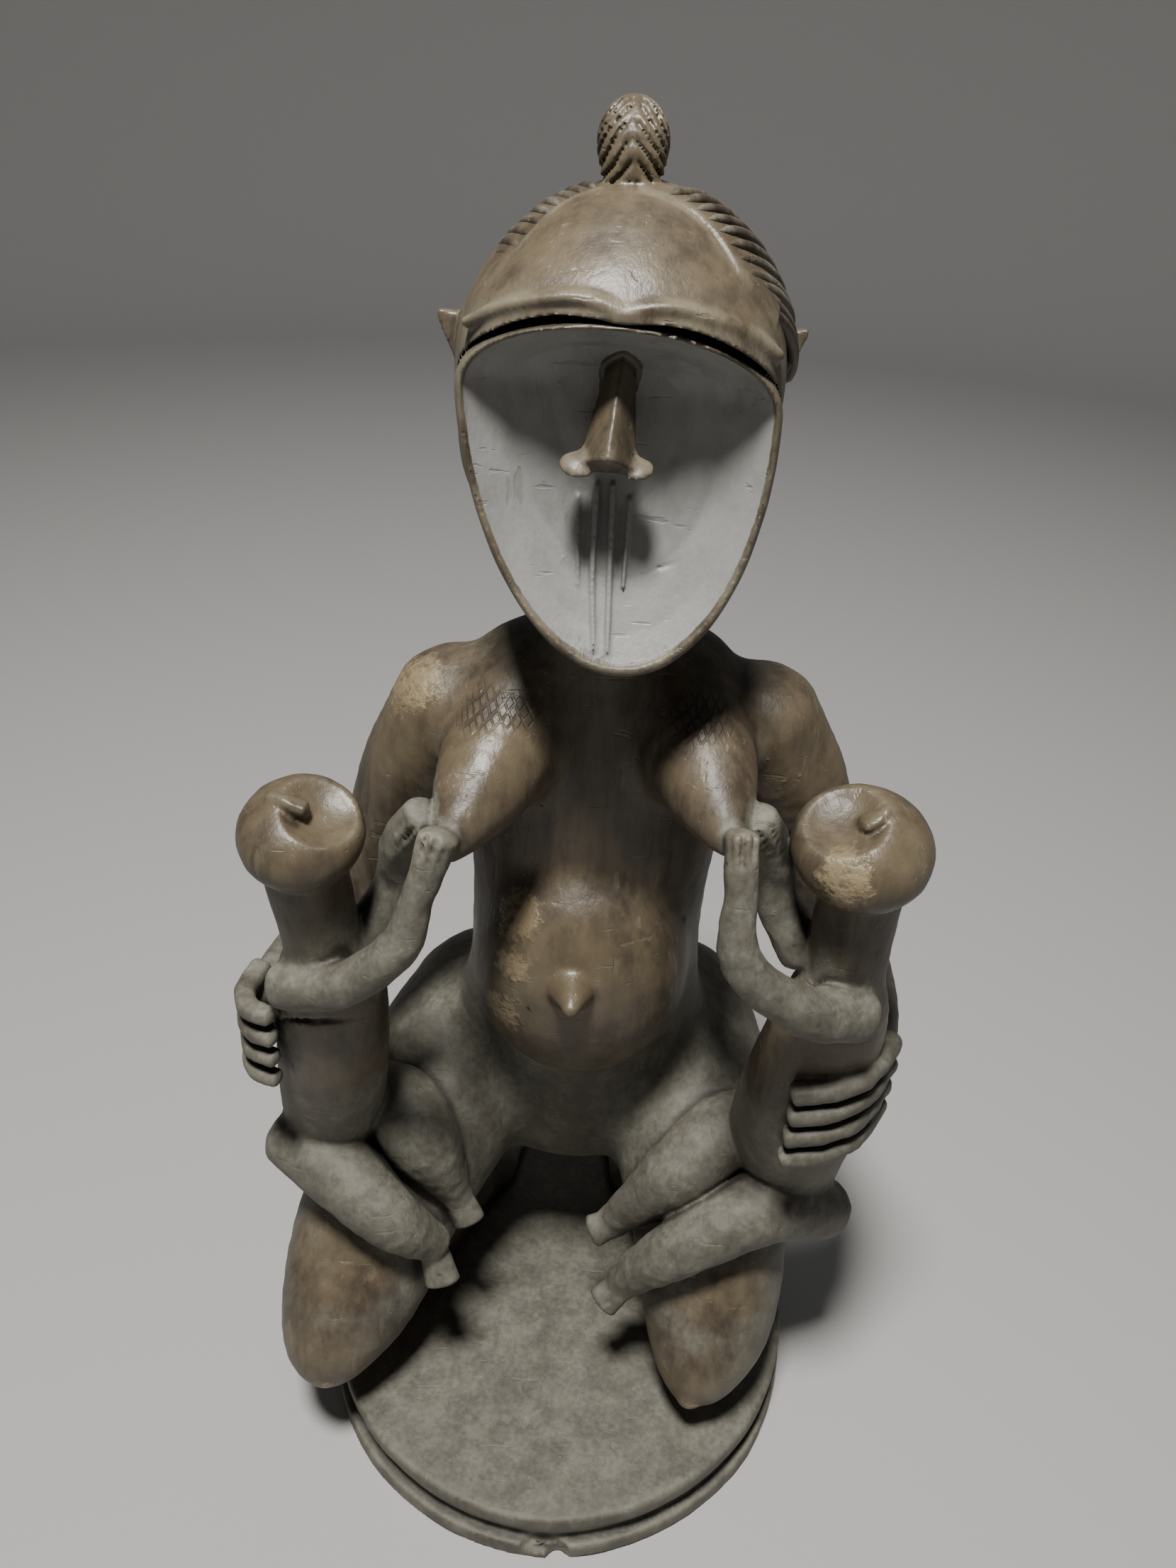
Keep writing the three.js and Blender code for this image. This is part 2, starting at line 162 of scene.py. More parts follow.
# The pits in the base's top: centre and radius.
BASE_PITS = [(-17, 40, 0.4, 2.4), (-9.8, 33.7, 0.6, 1.6), (12.6, -100, 0.5, 2.2), (-34, -62, 0.6, 1.8),
             (30, -74, 0.6, 1.5), (4, -52, 0.7, 1.5)]

# The head: a dome, a jaw behind the face, and a dished face whose outline is a long half ellipse to the chin
# and a low arch to the brow, swept back towards the sides.
DOME_CENTRE = (3, 6, 490)
DOME_HALVES = (53, 62, 58)
FOREHEAD = ((3, -8, 485), (52, 45, 46))
JAW = [(3, 8, 430, 24, 20), (3, 12, 452, 40, 38), (3, 12, 474, 47, 48), (3, 10, 492, 50, 54)]
FACE_X, FACE_Z, FACE_FRONT = 3.0, 490.0, -51.0
FACE_HALF_WIDTH, FACE_DROP, FACE_ARCH, FACE_SWEEP = 51.0, 87.0, 25.0, 15.0
FACE_LEAN, FACE_DRIFT = 0.05, 0.045
MASK_DEPTHS, MASK_SCALES = (0, 3, 26, 40), (0.985, 1, 0.97, 0.8)
DISH_SCALES, DISH_DEPTHS = (0, 0.4, 0.66, 0.84, 0.95, 1.2), (24, 22, 16, 8, 1.5, -14)
DISH_EDGE = 0.95
CHIN_HEIGHT = 395
NOSE = [(4, -26, 506, 3, 3), (2, -34, 488, 6.5, 9), (0.5, -42, 472, 9, 12)]
NOSTRILS = [((-8, -41, 470), (0, 24, -14)), ((9, -41, 469), (0, -24, 14))]
NOSTRIL_HALVES = (7.2, 7.5, 5)
NOSE_FOOT = (0.5, -54, 467.5)
BROW_GAP, BROW_DIP_WIDTH, GAP_DEPTH = 2.0, 13, 22
BROW_STEP, BROW_REACH, BROW_FOOT, BROW_RISE, BROW_DIP = 7.8, 60, 487, 35, 4.0
DOME_BOX = ((-70, -72, 400), (76, 84, 560))
FACE_BOX = ((-75, -75, 380), (81, 30, 535))
NOSE_BOX = ((-22, -70, 455), (24, -8, 525))
CREST_BOX = ((-24, -52, 510), (30, 86, 584))
FACE_CUTS = [
    [(19, -27.5, 490, 0.5), (24, -28.5, 481, 0.9), (29, -29.5, 474, 0.6)],
    [(39, -30.5, 491, 0.5), (34, -30, 484, 0.9), (29, -29.5, 474, 0.6)],
    [(-24, -30, 446, 0.3), (-16, -31, 443, 0.7), (-9, -31.5, 441, 0.3)],
    [(18, -33, 436, 0.3), (26, -35, 440, 0.7), (32, -37, 447, 0.3)],
]
RIM_CHIPS = [(16, -50, 513.5, 1.6), (21, -49, 511.5, 1.9), (26, -48, 510.5, 1.4), (-8, -51, 515, 1.2),
             (-44, -44, 462, 1.6), (43, -44, 452, 1.8), (38, -46, 441, 1.4), (-30, -49, 424, 1.3)]
CREST = [(3, 3, 549, 9.5, 8), (3, 10, 557, 11.5, 13), (3, 26, 555, 11, 13), (3, 46, 541, 9, 11),
         (3, 66, 514, 6, 8)]
CREST_MIDDLE, CREST_REACH, CREST_PITCH = (24, 546), 25.0, 5.0
CREST_LEAN, CREST_GROOVE_SHARE, CREST_GROOVE_DEPTH = 1.05, 0.24, 2.0
# The hair on each side: the dome that it lies on, the line where it starts on the forehead (how far back on
# top, how much further forward lower down, and the furthest forward), and the angle of its lowest lock.
HAIR_LEFT = {"halves": (52.2, 61.5, 57.2), "edge": -3, "drop": -57, "front": -18, "lowest": 71}
HAIR_RIGHT = {"halves": (57.5, 62.5, 58.5), "edge": -8, "drop": -57, "front": -24, "lowest": 58}
HAIR_BACK = 50
EAR_REACH = 7.5
NECK_POINT, NECK_NORMAL, NECK_OVERLAP = (0, 9, 416), (0, -0.29, 0.957), 1.5

# The boxes that the two lattices and the cuts through the neck span. The body's reaches under the base.
UNDER_BASE = 8
BODY_BOX = ((-158, -140), (158, 140, 440))
HEAD_BOX = ((-78, -78, 376), (84, 96, 588))
NECK_OF_BODY = ((-80, -90, 380), (86, 140, 460))
NECK_OF_HEAD = ((-78, -78, 376), (84, 96, 450))


# Distances, in millimetres of the pose: negative inside the wood, positive outside.

def ramp(value, start, end):
    """0 at start, 1 at end, smooth between."""
    share = np.clip((value - start) / (end - start), 0, 1)
    return share * share * (3 - 2 * share)


def smooth_min(a, b, blend):
    """The nearer of two surfaces, with a fillet about blend wide where they meet."""
    if blend <= 0:
        return np.minimum(a, b)
    near = np.maximum(blend - np.abs(a - b), 0) / blend
    return np.minimum(a, b) - near * near * (blend * 0.25)


def smooth_line(stations, steps):
    """A smooth line through the stations, as rows of x, y, z, half width and half depth."""
    table = np.array([row if len(row) == 5 else (*row, row[3]) for row in stations], float)
    ends = np.vstack([2 * table[0] - table[1], table, 2 * table[-1] - table[-2]])
    rows = []
    for p0, p1, p2, p3 in zip(ends, ends[1:], ends[2:], ends[3:]):
        for t in np.arange(steps) / steps:
            straight = 2 * p1 + (p2 - p0) * t
            bent = (2 * p0 - 5 * p1 + 4 * p2 - p3) * t ** 2 + (3 * p1 - p0 - 3 * p2 + p3) * t ** 3
            rows.append(0.5 * (straight + bent))
    rows.append(table[-1])
    return np.maximum(np.array(rows), [-1e4, -1e4, -1e4, 0.4, 0.4])


def stretch_distance(x, y, z, a, b, across, dome, power):
    """Distance to one stretch of a limb. Its section is an ellipse, or a wedge for a power under 2."""
    along = b[:3] - a[:3]
    length = max(np.linalg.norm(along), 1e-6)
    along = along / length
    deep = np.cross(along, across)
    deep = deep / max(np.linalg.norm(deep), 1e-6)
    wide = np.cross(deep, along)
    dx, dy, dz = x - a[0], y - a[1], z - a[2]
    run = dx * along[0] + dy * along[1] + dz * along[2]
    inside = np.clip(run, 0, length)
    share = inside / length
    half_wide = a[3] + (b[3] - a[3]) * share
    half_deep = a[4] + (b[4] - a[4]) * share
    u = np.abs(dx * wide[0] + dy * wide[1] + dz * wide[2])
    v = np.abs(dx * deep[0] + dy * deep[1] + dz * deep[2])
    w = np.abs(run - inside) / dome
    if power == 2 and a[3] == a[4] and b[3] == b[4]:
        return np.sqrt(u * u + v * v + w * w) - half_wide
    half_end = np.minimum(half_wide, half_deep)
    level = (u / half_wide) ** power + (v / half_deep) ** power + (w / half_end) ** power
    level = np.maximum(level ** (1 / power), 0.02)
    slope = np.sqrt(sum(((value / half) ** (power - 1) / half) ** 2
                        for value, half in ((u, half_wide), (v, half_deep), (w, half_end))))
    return level ** (power - 1) * (level - 1) / np.maximum(slope, 1e-4)


def limb_distance(x, y, z, stations, across=ACROSS_X, steps=4, dome=1.0, power=2):
    """Distance from any points to a whole limb."""
    line = smooth_line(stations, steps)
    return np.minimum.reduce([
        stretch_distance(x, y, z, a, b, across, dome, power) for a, b in zip(line, line[1:])
    ])


def turn_matrix(degrees):
    """The turn about X, then Y, then Z."""
    matrix = Matrix.Identity(3)
    for angle, axis in zip(degrees, "XYZ"):
        matrix = Matrix.Rotation(math.radians(angle), 3, axis) @ matrix
    return np.array(matrix)


def egg_distance(x, y, z, centre, halves, degrees=(0, 0, 0)):
    """Distance to an egg of three half sizes."""
    turn = turn_matrix(degrees)
    dx, dy, dz = x - centre[0], y - centre[1], z - centre[2]
    local = [dx * turn[0, k] + dy * turn[1, k] + dz * turn[2, k] for k in range(3)]
    level = np.sqrt(sum((value / half) ** 2 for value, half in zip(local, halves)))
    slope = np.sqrt(sum((value / half ** 2) ** 2 for value, half in zip(local, halves)))
    return level * (level - 1) / np.maximum(slope, 1e-4)


class Block:
    """The distances on a lattice inside a box, to which forms are added and from which they are cut."""

    def __init__(self, low, high, spacing):
        self.spacing = spacing
        self.first = np.floor(np.array(low, float) / spacing).astype(int)
        self.last = np.ceil(np.array(high, float) / spacing).astype(int) + 1
        self.values = np.full(self.last - self.first, FAR, np.float32)

    def window(self, low, high):
        """The slices of the lattice inside a box, and the coordinates there."""
        first = np.clip(np.floor(np.array(low) / self.spacing).astype(int), self.first, self.last)
        last = np.clip(np.ceil(np.array(high) / self.spacing).astype(int) + 1, self.first, self.last)
        slices = tuple(slice(a, b) for a, b in zip(first - self.first, last - self.first))
        x, y, z = ((np.arange(a, b) * self.spacing).astype(np.float32) for a, b in zip(first, last))
        return slices, x[:, None, None], y[None, :, None], z[None, None, :]

    def add(self, slices, distance, blend):
        self.values[slices] = smooth_min(self.values[slices], distance.astype(np.float32), blend)

    def cut(self, slices, distance, blend):
        self.values[slices] = -smooth_min(-self.values[slices], distance.astype(np.float32), blend)

    def join(self, other, blend=0.0, cutting=False):
        """Add or cut another lattice's forms where it meets this one."""
        low, high = np.maximum(other.first, self.first), np.minimum(other.last, self.last)
        if np.any(high <= low):
            return
        theirs = tuple(slice(a, b) for a, b in zip(low - other.first, high - other.first))
        ours = tuple(slice(a, b) for a, b in zip(low - self.first, high - self.first))
        (self.cut if cutting else self.add)(ours, other.values[theirs], blend)

    def egg(self, centre, halves, degrees=(0, 0, 0), blend=0.0, cutting=False):
        reach = max(halves) + blend + 10
        slices, x, y, z = self.window(np.array(centre) - reach, np.array(centre) + reach)
        distance = egg_distance(x, y, z, centre, halves, degrees)
        (self.cut if cutting else self.add)(slices, distance, blend)

    def limb(self, stations, blend=0.0, across=ACROSS_X, steps=4, dome=1.0, power=2, cutting=False):
        line = smooth_line(stations, steps)
        reach = line[:, 3:].max(axis=1)[:, None] + blend + 10
        whole = Block((line[:, :3] - reach).min(axis=0), (line[:, :3] + reach).max(axis=0), self.spacing)
        for a, b, reach_a, reach_b in zip(line, line[1:], reach, reach[1:]):
            low = np.minimum(a[:3] - reach_a, b[:3] - reach_b)
            high = np.maximum(a[:3] + reach_a, b[:3] + reach_b)
            slices, x, y, z = whole.window(low, high)
            whole.add(slices, stretch_distance(x, y, z, a, b, across, dome, power), 0)
        self.join(whole, blend, cutting)

    def at(self, points):
        """The distances at any points, from the eight lattice points round each."""
        place = points / self.spacing - self.first
        place = np.clip(place, 0, np.array(self.values.shape) - 1.001)
        corner = place.astype(int)
        return between_corners(self.values, corner, place - corner)


def between_corners(table, corner, share):
    """The table's values inside its cells, from the eight corners round each place. The table repeats."""
    total = np.zeros(len(corner))
    for step in np.ndindex(2, 2, 2):
        weight = np.prod(np.where(step, share, 1 - share), axis=1)
        total += weight * table[tuple(((corner + step) % table.shape).T)]
    return total


def lattice_noise(points, cell, seed):
    """Smooth random heights from -1 to 1, one for each cell of a lattice."""
    table = np.random.default_rng(seed).uniform(-1, 1, (32, 32, 32))
    place = points / cell
    corner = np.floor(place).astype(int)
    share = place - corner
    return between_corners(table, corner, share * share * (3 - 2 * share))


def knife_marks(points, cell, seed):
    """Shallow scoops side by side, as a knife leaves them: 0 in a scoop's middle, 1 on the ridges between."""
    shifts = np.random.default_rng(seed).uniform(0.1, 0.9, (16, 16, 16, 3))
    place = points / cell
    corner = np.floor(place).astype(int)
    nearest = np.full(len(points), 9.0)
    for step in np.ndindex(3, 3, 3):
        other = corner + np.array(step) - 1
        middle = other + shifts[other[:, 0] % 16, other[:, 1] % 16, other[:, 2] % 16]
        nearest = np.minimum(nearest, ((place - middle) ** 2).sum(axis=1))
    return np.minimum(nearest / SCOOP_SHARE, 1.0)


# The carving's forms.

def leg(block, plan):
    """A thick thigh with a pointed knee and small caps, the shin under it and the foot at the back."""
    knee, foot = plan["knee"], plan["foot"]
    side = math.copysign(1, knee[0])
    block.limb(plan["thigh"], blend=12, steps=5)
    middle = ((knee[0] + foot[0]) / 2 + side * 8, (knee[1] + foot[1]) / 2)
    block.limb([(knee[0], knee[1] + 26, 14, 15, 20), (*middle, 12, 17, 22), (*foot, 11, 14, 15)], blend=4)
    block.limb([
        (foot[0], foot[1] - 4, 9, 15, 10),
        (foot[0] * 0.92, foot[1] + 12, 7, 14, 9),
        (foot[0] * SOLE_TURN, foot[1] + 22, 5, 14, 6),
    ], blend=5)
    for toe in range(TOE_GROOVES):
        across = foot[0] * SOLE_TURN + (toe - (TOE_GROOVES - 1) / 2) * TOE_WIDTH
        block.limb([(across, foot[1] + 16, 14, 0.8, 3), (across * 0.98, foot[1] + 32, 8, 0.9, 5)],
                   blend=1.2, cutting=True)
    for x, y, z, radius in plan["caps"]:
        block.egg((x, y, z), (radius, radius, radius), blend=2.5)


def arm(block, plan):
    """A shoulder and an arm that reaches down behind the child and round its back, with four fingers."""
    block.limb(plan["arm"], blend=9, steps=5)
    hand = plan["fingers"]
    radius = hand["thickness"]
    for finger in range(FINGER_COUNT):
        drop = hand["drop"] * (finger - (FINGER_COUNT - 1) / 2)
        block.limb([
            (x, y, z + drop, radius * (1 - 0.04 * k), radius * (1.1 - 0.06 * k))
            for k, (x, y, z) in enumerate(hand["line"])
        ], blend=1.0, across=ACROSS_Z, dome=0.6, power=2.6)


def breast(block, root, tip):
    """A long breast that narrows to the tip that the child holds."""
    root, tip = np.array(root, float), np.array(tip, float)
    block.limb([
        (*root, 26, 30),
        (*(root + (tip - root) * 0.5), 21, 22),
        (*(root + (tip - root) * 0.85), 12, 12.5),
        (*tip, 6.5, 6.5),
    ], blend=12, steps=5)


def child(spacing, plan):
    """A child that sits on the mother's thigh, tips its dished face up to hers and holds her breast."""
    points = np.array([row[:3] for group in (plan["trunk"], *plan["arms"], *plan["legs"]) for row in group])
    block = Block(points.min(axis=0) - 44, points.max(axis=0) + 50, spacing)
    block.limb(plan["trunk"], blend=0, steps=5)
    centre, halves, degrees = plan["head"]
    block.egg(centre, halves, degrees, blend=3)
    block.egg(*plan["scoop"], blend=1.0, cutting=True)
    block.limb(plan["nose"], blend=1.0, power=1.3, dome=0.3)
    for stations in (*plan["arms"], *plan["legs"]):
        block.limb(stations, blend=2.5, across=ACROSS_Z, steps=5, dome=0.6, power=2.2)
    for stations in plan["arms"]:
        finger_grooves(block, stations[-2], stations[-1])
    if plan["ledge"]:
        block.limb(plan["ledge"], blend=1.0, cutting=True)
    for foot in plan["feet"]:
        block.limb([(*foot["ankle"], 7, 6.5), (*foot["toe"], 8.5, 5)], blend=2.5, dome=0.5)
        ankle, toe, spread = (np.array(foot[name], float) for name in ("ankle", "toe", "spread"))
        for groove in range(foot["toes"] - 1):
            at = toe + spread * (groove - (foot["toes"] - 2) / 2)
            back = ankle - at
            block.limb([(*(at - back * 0.4 + TOE_SIDE), 0.9), (*(at + back * 0.25 + TOE_SIDE), 0.7)],
                       blend=0.6, cutting=True)
    return block


def finger_grooves(block, wrist, tip):
    """Grooves between the fingers of a hand that reaches from its wrist to its tip, where it shows."""
    width = tip[3]
    wrist, tip = np.array(wrist[:3], float), np.array(tip[:3], float)
    reach = tip - wrist
    reach = reach / np.linalg.norm(reach)
    front = HAND_SIDE - reach * np.dot(HAND_SIDE, reach)
    front = front / np.linalg.norm(front)
    beside = np.cross(reach, front)
    for offset in GROOVE_OFFSETS:
        middle = tip + beside * offset * width + front * width * 0.92 * math.sqrt(1 - offset * offset)
        block.limb([(*(middle - reach * 15), 0.4, 0.8), (*(middle - reach * 5), 0.7, 2.0),
                    (*(middle + reach * 3), 0.8, 2.6), (*(middle + reach * 10 - front * 4), 0.8, 3.0)],
                   blend=0.3, across=beside, cutting=True)


def face_shape(x, y, z, arch=FACE_ARCH):
    """Where a point lies on the face: its share of the way out to the rim, its depth behind the rim's plane,
    and how fast that share grows with each millimetre."""
    across, down = face_place(x, z)
    height = np.where(down > 0, arch, FACE_DROP)
    share = np.sqrt((across / FACE_HALF_WIDTH) ** 2 + (down / height) ** 2)
    depth = y - FACE_FRONT - FACE_SWEEP * (across / FACE_HALF_WIDTH) ** 2
    growth = np.sqrt((across / FACE_HALF_WIDTH ** 2) ** 2 + (down / height ** 2) ** 2)
    return share, depth, np.maximum(growth / np.maximum(share, 1e-3), 1e-3)


def face_place(x, z):
    """The place across and above the face's middle, with the brow's lean and the chin's drift followed."""
    across = x - FACE_X - FACE_DRIFT * np.clip(FACE_Z - z, 0, None)
    return across, z - FACE_Z + FACE_LEAN * (x - FACE_X)


def head(block):
    """The dome and jaw, the gap under the brow, the dished mask with its nose and grooves, ears and crest."""
    slices, x, y, z = block.window(*DOME_BOX)
    dome = egg_distance(x, y, z, DOME_CENTRE, DOME_HALVES)
    for side, hair in ((-1, HAIR_LEFT), (1, HAIR_RIGHT)):
        zone = hair_zone(x, y, z, side, hair)
        dome = -smooth_min(-dome, zone, 0.6)
        under = np.maximum(egg_distance(x, y, z, DOME_CENTRE, hair["halves"]), zone - 1)
        dome = smooth_min(dome, under, 0.4)
    block.add(slices, dome, 0)
    block.limb(JAW, blend=10, steps=5)
    level = sum((np.abs(place - middle) / half) ** 3 for place, middle, half in zip((x, y, z), *FOREHEAD))
    block.add(slices, 40 * (level ** (1 / 3) - 1), 6)
    block.limb(brow_line(), blend=3, across=ACROSS_Z, steps=4)
    slices, x, y, z = block.window(*FACE_BOX)
    x, y, z = np.broadcast_arrays(x, y, z)
    off_middle = face_place(x, z)[0]
    arch = FACE_ARCH + BROW_GAP * (1 - np.exp(-(off_middle / BROW_DIP_WIDTH) ** 2)) + 0.6
    gap_share = face_shape(x, y, z, arch)[0]
    share, depth, growth = face_shape(x, y, z)
    block.cut(slices, np.maximum((gap_share - 1.0) / growth, depth - GAP_DEPTH), 0.8)
    side = (share - np.interp(depth, MASK_DEPTHS, MASK_SCALES)) / growth
    mask = -smooth_min(-side, np.minimum(depth, MASK_DEPTHS[-1] - depth), 1.6)
    block.add(slices, mask, 1.0)
    dish = 0.7 * (depth - np.interp(share, DISH_SCALES, DISH_DEPTHS))
    dish = -smooth_min(-dish, -(share - DISH_EDGE) / growth, 1.0)
    block.cut(slices, dish, 0.8)
    nose(block)
    for side in (-1, 1):
        block.limb([(side * 2.6, -27, 462, 1.2, 4), (0.4 + side * 2.9, -33, 432, 1.3, 5),
                    (1.6 + side * 2.3, -45, 410, 1.2, 3.6)], blend=0.6)
        block.limb([(side * 8.5, -28, 458, 0.8, 2.6), (0.4 + side * 7.6, -35, 430, 0.7, 3)], blend=0.6)
        ear(block, side)
    for line in FACE_CUTS:
        block.limb(line, blend=0.5, cutting=True)
    for x, y, z, radius in RIM_CHIPS:
        block.egg((x, y, z), (radius * 1.4, radius * 1.6, radius), (0, 30, 20), blend=0.7, cutting=True)
    crest(block)


def hair_angle(x, z, side):
    """How far round from the top of the dome a point lies, towards this side."""
    return np.degrees(np.arctan2(side * (x - DOME_CENTRE[0]) / DOME_HALVES[0],
                                 (z - DOME_CENTRE[2]) / DOME_HALVES[2]))


def hair_zone(x, y, z, side, hair):
    """Distance outside the part of the dome that this side's hair covers."""
    angle = hair_angle(x, z, side)
    edge = hair["edge"] + hair["drop"] * (1 - np.cos(np.radians(np.clip(angle, 0, 90))))
    edge = np.maximum(edge, hair["front"])
    ends = np.maximum(edge - y, y - HAIR_BACK)
    return np.maximum(ends, np.maximum(angle - hair["lowest"] - 2.5, 5 - angle))


def nose(block):
    """A wedge with a sharp ridge, flat underneath, and a flared lobe on each side."""
    slices, x, y, z = block.window(*NOSE_BOX)
    x, y, z = np.broadcast_arrays(x, y, z)
    wedge = limb_distance(x, y, z, NOSE, power=1.25, dome=0.3)
    for centre, turn in NOSTRILS:
        wedge = smooth_min(wedge, egg_distance(x, y, z, centre, NOSTRIL_HALVES, turn), 4.0)
    under = (NOSE_FOOT[2] - z) * 0.94 + (y - NOSE_FOOT[1]) * 0.34
    wedge = -smooth_min(-wedge, -under, 1.2)
    block.add(slices, wedge, 1.5)


def ear(block, side):
    """A small pointed ear, flat in front, that stands out behind the brow's end."""
    root = np.array([FACE_X + side * 48, 8, 492.0])
    tip = np.array([FACE_X + side * (DOME_HALVES[0] + EAR_REACH), 4, 507.0])
    slices, x, y, z = block.window(np.minimum(root, tip) - 22, np.maximum(root, tip) + 22)
    x, y, z = np.broadcast_arrays(x, y, z)
    along = side * (x - root[0])
    reach = side * (tip[0] - root[0])
    share = np.clip(along / reach, 0, 1.2)
    top = 506 + 1.5 * share
    low = 480 + 25.5 * share ** 1.3
    slab = np.maximum(np.abs(y - 6 + 4 * share) - (4.5 - 3.0 * share), np.maximum(z - top, low - z))
    block.add(slices, np.maximum(slab, along - reach) * 0.9, 1.5)


def brow_line():
    """The brow's roll along the dome's lower edge, dipping to a point in the middle."""
    line = []
    for i in range(13):
        across = (i - 6) * BROW_STEP
        arch = math.sqrt(1 - (across / BROW_REACH) ** 2)
        dip = BROW_DIP * max(0.0, 1 - abs(across) / 12)
        sweep = FACE_SWEEP * (across / FACE_HALF_WIDTH) ** 2
        rise = BROW_FOOT + BROW_RISE * arch - dip - FACE_LEAN * across
        line.append((FACE_X + across, FACE_FRONT + 3.2 + sweep, rise, 1.5, 2.0))
    return line


def crest(block):
    """The comb over the top of the head, with grooves that slant down both flanks from its ridge."""
    slices, x, y, z = block.window(*CREST_BOX)
    x, y, z = np.broadcast_arrays(x, y, z)
    comb = limb_distance(x, y, z, CREST)
    up = CREST_REACH * np.arctan2(z - CREST_MIDDLE[1], CREST_MIDDLE[0] - y)
    across = np.abs(x - FACE_X - 0.8 * np.sin(up / 3.1))
    wave = (up + CREST_LEAN * across) / CREST_PITCH
    groove = np.clip(1 - np.abs((wave % 1) - 0.5) / CREST_GROOVE_SHARE, 0, 1)
    flank = np.clip((across - 0.3) / 1.4, 0, 1)
    block.add(slices, comb + CREST_GROOVE_DEPTH * groove * flank, 1.5)


def mother(block):
    """The mother's trunk, belly, legs, breasts and arms."""
    block.limb(TRUNK, blend=0, steps=5)
    block.egg(*BELLY, blend=9)
    for centre in BUTTOCKS:
        block.egg(centre, BUTTOCK_HALVES, blend=9)
    leg(block, LEFT_LEG)
    leg(block, RIGHT_LEG)
    block.limb(SPINE, blend=4, cutting=True)
    block.limb(NAVEL, blend=2.5)
    for root, tip in BREASTS:
        breast(block, root, tip)
    arm(block, LEFT_ARM)
    arm(block, RIGHT_ARM)


def base(block, sizes):
    """The round base: a drum drawn in above a wider rim, a little out of true, with a chip in front. Its
    sizes are in millimetres of the pose."""
    rim_radius, floor = sizes["rim_radius"], -sizes["thickness"]
    edge = rim_radius + 12
    slices, x, y, z = block.window((-edge, -edge, floor - 12), (edge, edge, 16))
    x, y, z = np.broadcast_arrays(x, y, z)
    radius, angle = np.hypot(x, y), np.arctan2(y, x)
    radius = radius - 0.5 * np.sin(3 * angle + 1) - 0.35 * np.sin(7 * angle)
    height = z - floor
    neck, top = sizes["neck_radius"], sizes["top_radius"]
    wall = neck + (top - neck) * ramp(height, 9.5, 23.5)
    block.add(slices, rounded(radius - wall, np.abs(height - 15) - 15, 2.2), 2.0)
    rim = sizes["rim_thickness"] / 2
    block.add(slices, rounded(radius - rim_radius, np.abs(height - rim) - rim, 1.4), 0.5)
    for x, y, z, size in BASE_PITS:
        block.egg((x, y, z), (size, size * 0.8, 1.3), blend=0.6, cutting=True)
    front = -rim_radius
    block.egg((-2, front, floor + 9), (10, 6.5, 6), blend=0.8, cutting=True)
    block.egg((6, front - 1, floor + 5), (6, 5, 7), blend=0.8, cutting=True)
    for i in range(5):
        block.limb([(-8 + 3.2 * i, front + 4.2, floor + 2.5 + (i % 3), 0.9, 0.8),
                    (-5 + 3.4 * i, front + 3.2, floor + 6 + (i % 2), 0.6, 0.6)], blend=0.4)


def rounded(side, cap, edge):
    """A drum's distance from that to its wall and to its flat ends, with a rounded edge."""
    a, b = side + edge, cap + edge
    return np.minimum(np.maximum(a, b), 0) + np.hypot(np.maximum(a, 0), np.maximum(b, 0)) - edge


def neck_side(x, y, z):
    """Distance above the slanting plane through the neck where the head's mesh meets the body's."""
    return sum((place - middle) * share for place, middle, share in zip((x, y, z), NECK_POINT, NECK_NORMAL))


# Meshes, with what shows on the wood kept as attributes of their points.

def largest_shell(count, faces):
    """Which points belong to the largest closed shell."""
    label = np.arange(count)
    while True:
        lower = label.copy()
        lowest = label[faces].min(axis=1)
        for corner in range(faces.shape[1]):
            np.minimum.at(lower, faces[:, corner], lowest)
        lower = lower[lower]
        if np.array_equal(lower, label):
            return label == np.bincount(label).argmax()
        label = lower


def mesh_of(name, points, faces):
    mesh = bpy.data.meshes.new(name)
    mesh.vertices.add(len(points))
    mesh.vertices.foreach_set("co", points.astype(np.float32).ravel())
    mesh.loops.add(faces.size)
    mesh.loops.foreach_set("vertex_index", faces.astype(np.int32).ravel())
    mesh.polygons.add(len(faces))
    mesh.polygons.foreach_set("loop_start", np.arange(0, faces.size, faces.shape[1], dtype=np.int32))
    mesh.update(calc_edges=True)
    mesh.validate()
    return mesh


def skin(block, name, triangles, marks):
    """The block's surface, with its knife marks, as an object in pose millimetres, thinned to so many
    triangles."""
    grid = openvdb.FloatGrid(FAR)
    grid.copyFromArray(np.ascontiguousarray(block.values))
    points, _, faces = grid.convertToPolygons(isovalue=0.0, adaptivity=0.0)
    kept = largest_shell(len(points), faces)
    faces = faces[kept[faces[:, 0]]]
    used, faces = np.unique(faces, return_inverse=True)
    points = (points[used] + block.first) * block.spacing
    piece = bpy.data.objects.new(name, mesh_of(name, points, faces.reshape(-1, 4)))
    bpy.context.collection.objects.link(piece)
    cut_marks(piece.data, block, *marks)
    thinner = piece.modifiers.new("Thin", "DECIMATE")
    thinner.ratio = min(1.0, triangles / (2 * len(faces.reshape(-1, 4))))
    thinner.use_collapse_triangulate = True
    return plain_mesh(piece)


def plain_mesh(piece):
    """The piece with its modifiers turned into plain mesh and removed."""
    evaluated = piece.evaluated_get(bpy.context.evaluated_depsgraph_get())
    mesh = bpy.data.meshes.new_from_object(evaluated)
    old = piece.data
    piece.modifiers.clear()
    piece.data = mesh
    bpy.data.meshes.remove(old)
    mesh.name = piece.name
    return piece


def points_of(mesh):
    points = np.zeros(len(mesh.vertices) * 3, np.float32)
    mesh.vertices.foreach_get("co", points)
    return points.reshape(-1, 3).astype(float)


